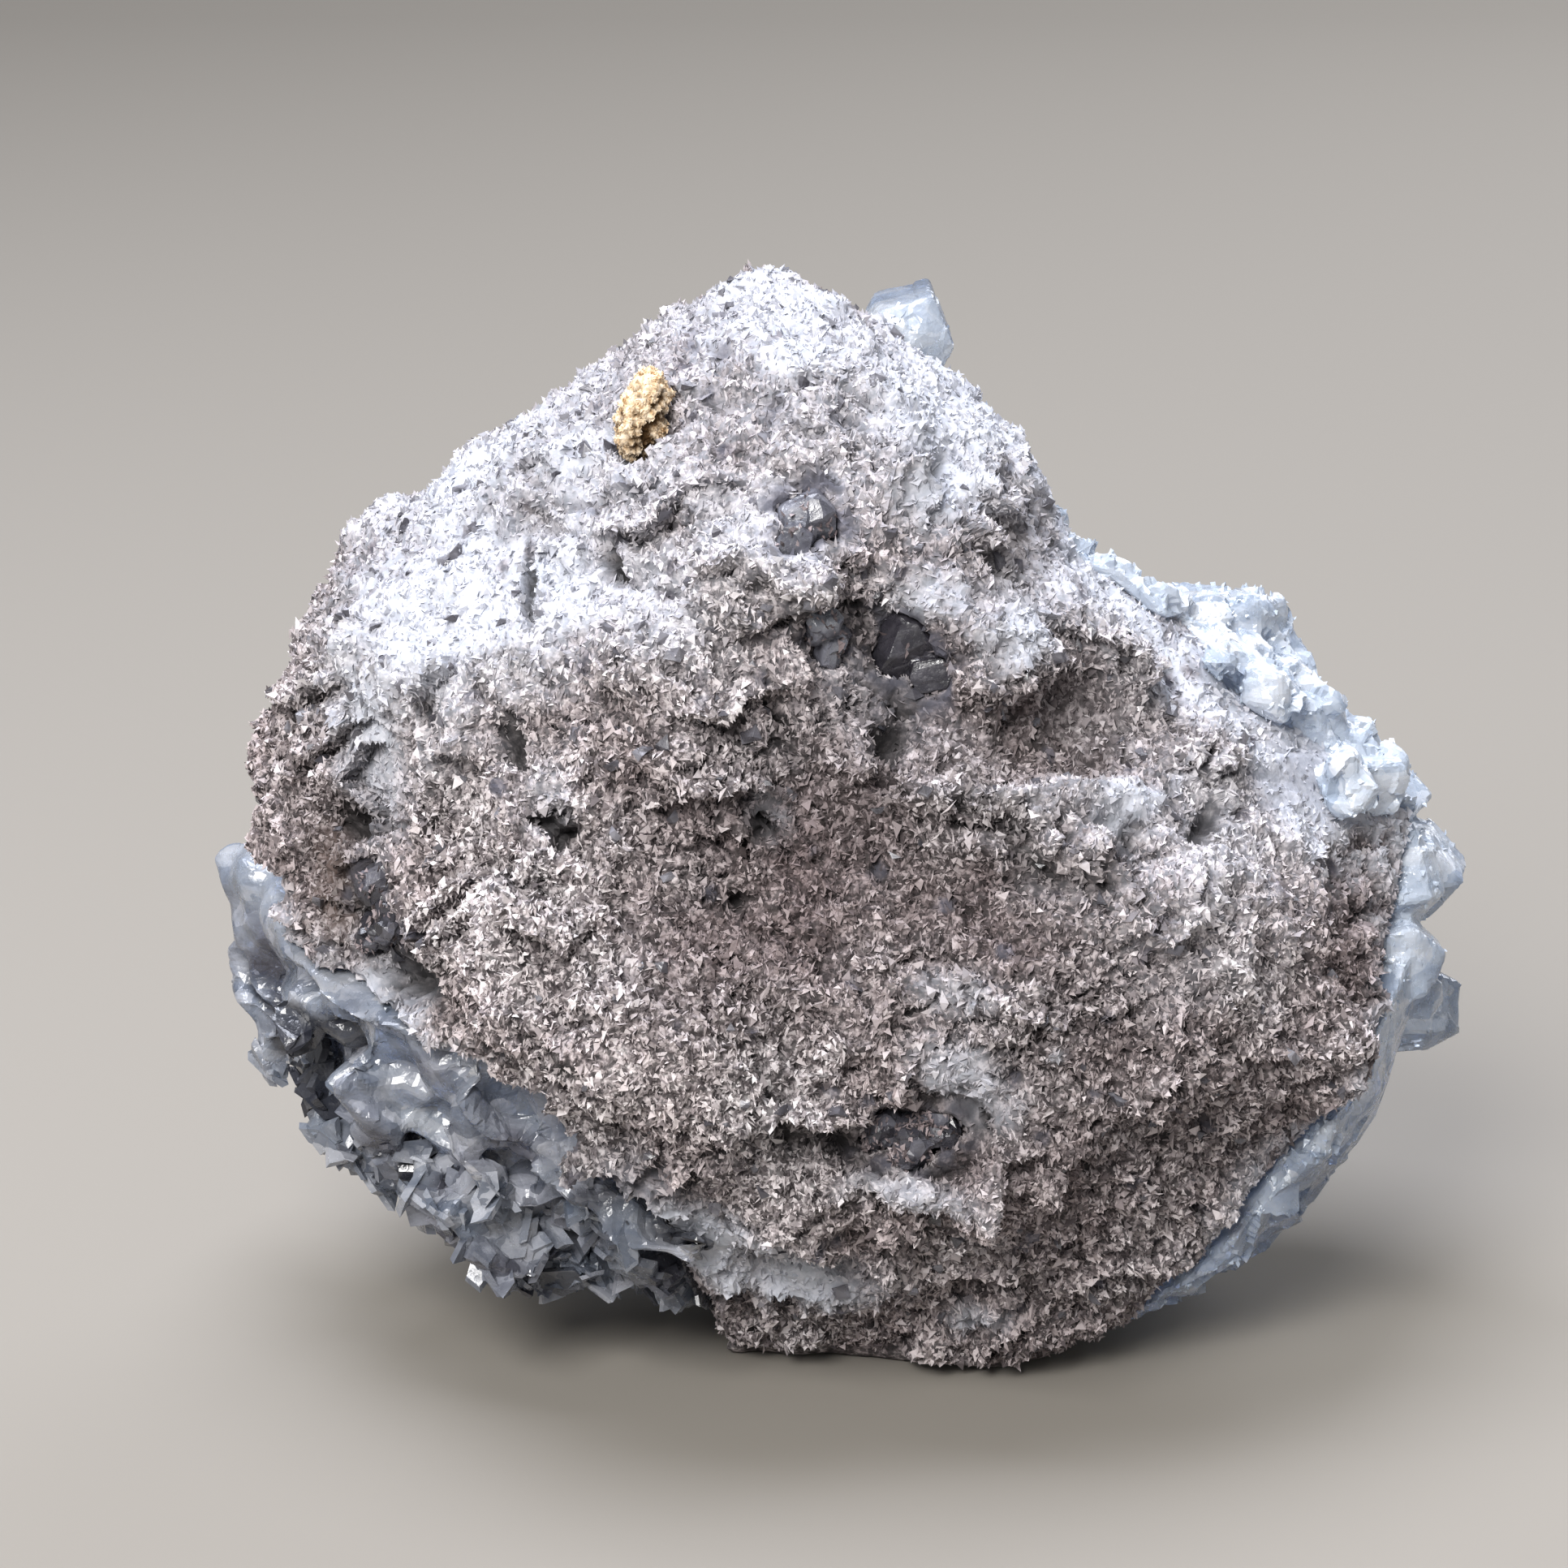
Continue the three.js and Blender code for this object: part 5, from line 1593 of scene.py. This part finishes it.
@dataclass
class Studio:
    """Plain pale ground, soft lights and the camera. Ground and lights are in metres, as they're large."""

    target: tuple[float, float, float] = (-3.65, -1.1, 36.2)
    distance: float = 320.0
    elevation: float = 17.0
    focal_length: float = 119.25
    sensor: float = 36.0
    ground_front: float = 1.2
    ground_reach: float = 0.9
    ground_bend: float = 0.35
    ground_rise: float = 0.9
    ground_half: float = 1.6
    ground_steps: int = 16
    lamps: tuple[Lamp, ...] = (
        Lamp("overhead", (-0.1, 0.04, 0.6), (0.0, 0.0, 0.03), 0.36, 4.8, "#eef2ff"),
        Lamp("high_front", (-0.2, -0.52, 0.48), (0.0, 0.0, 0.03), 0.3, 6.2, "#fffdfb"),
        Lamp("back_rim", (0.3, 0.5, 0.35), (0.0, 0.0, 0.04), 0.4, 2.0, "#f4f7ff"),
    )
    room_colour: str = "#eef0f4"
    room_strength: float = 0.4

    def build(self) -> None:
        """Builds the ground, the lights and the camera."""
        self._camera()
        self._ground()
        self._lights()

    def _camera(self) -> None:
        """Places the camera in front, looking a little down."""
        lens = bpy.data.cameras.new("camera")
        lens.lens, lens.sensor_width = self.focal_length, self.sensor
        lens.clip_start, lens.clip_end = 0.01, 20.0
        camera = add_object("camera", lens)
        tilt = math.radians(self.elevation)
        back = Vector((0.0, -math.cos(tilt), math.sin(tilt))) * self.distance
        camera.location = (Vector(self.target) + back) * MM
        camera.rotation_euler = (math.radians(90.0 - self.elevation), 0.0, 0.0)
        bpy.context.scene.camera = camera

    def _ground(self) -> None:
        """Lays a pale sheet that curves up behind the specimen."""
        level, bend, steps = self.ground_reach - self.ground_bend, self.ground_bend, self.ground_steps
        profile = [(-self.ground_front, 0.0), (level, 0.0)]
        for step in range(1, steps + 1):
            angle = math.pi / 2 * step / steps
            profile.append((level + bend * math.sin(angle), bend - bend * math.cos(angle)))
        profile.append((self.ground_reach, self.ground_rise))
        places = [(side * self.ground_half, y, z) for y, z in profile for side in (-1, 1)]
        faces = [(2 * i, 2 * i + 1, 2 * i + 3, 2 * i + 2) for i in range(len(profile) - 1)]
        mesh = bpy.data.meshes.new("ground")
        mesh.from_pydata(places, [], faces)
        mesh.shade_smooth()
        mesh.materials.append(PaleGround().build())
        add_object("ground", mesh)

    def _lights(self) -> None:
        """Hangs the soft lights in an evenly pale room."""
        for lamp in self.lamps:
            lamp.hang()
        world = bpy.data.worlds.new("pale_room")
        world.use_nodes = True
        back = world.node_tree.nodes["Background"]
        back.inputs["Color"].default_value = linear(self.room_colour)
        back.inputs["Strength"].default_value = self.room_strength
        bpy.context.scene.world = world
        bpy.context.scene.view_settings.view_transform = "Standard"


def main() -> None:
    """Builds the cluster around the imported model, piece by piece."""
    logging.basicConfig(level=logging.INFO, format="%(name)s %(message)s", stream=sys.stdout)
    noise.seed_set(NOISE_SEED)
    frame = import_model()
    Studio().build()
    rock = HostRock()
    made = rock.build(frame)
    rock.strew_flakes(made)
    CelestiteCrust().build(frame)
    PocketCrystals().build(frame)
    ClayNodule().build(frame)


if __name__ == "__main__":
    main()
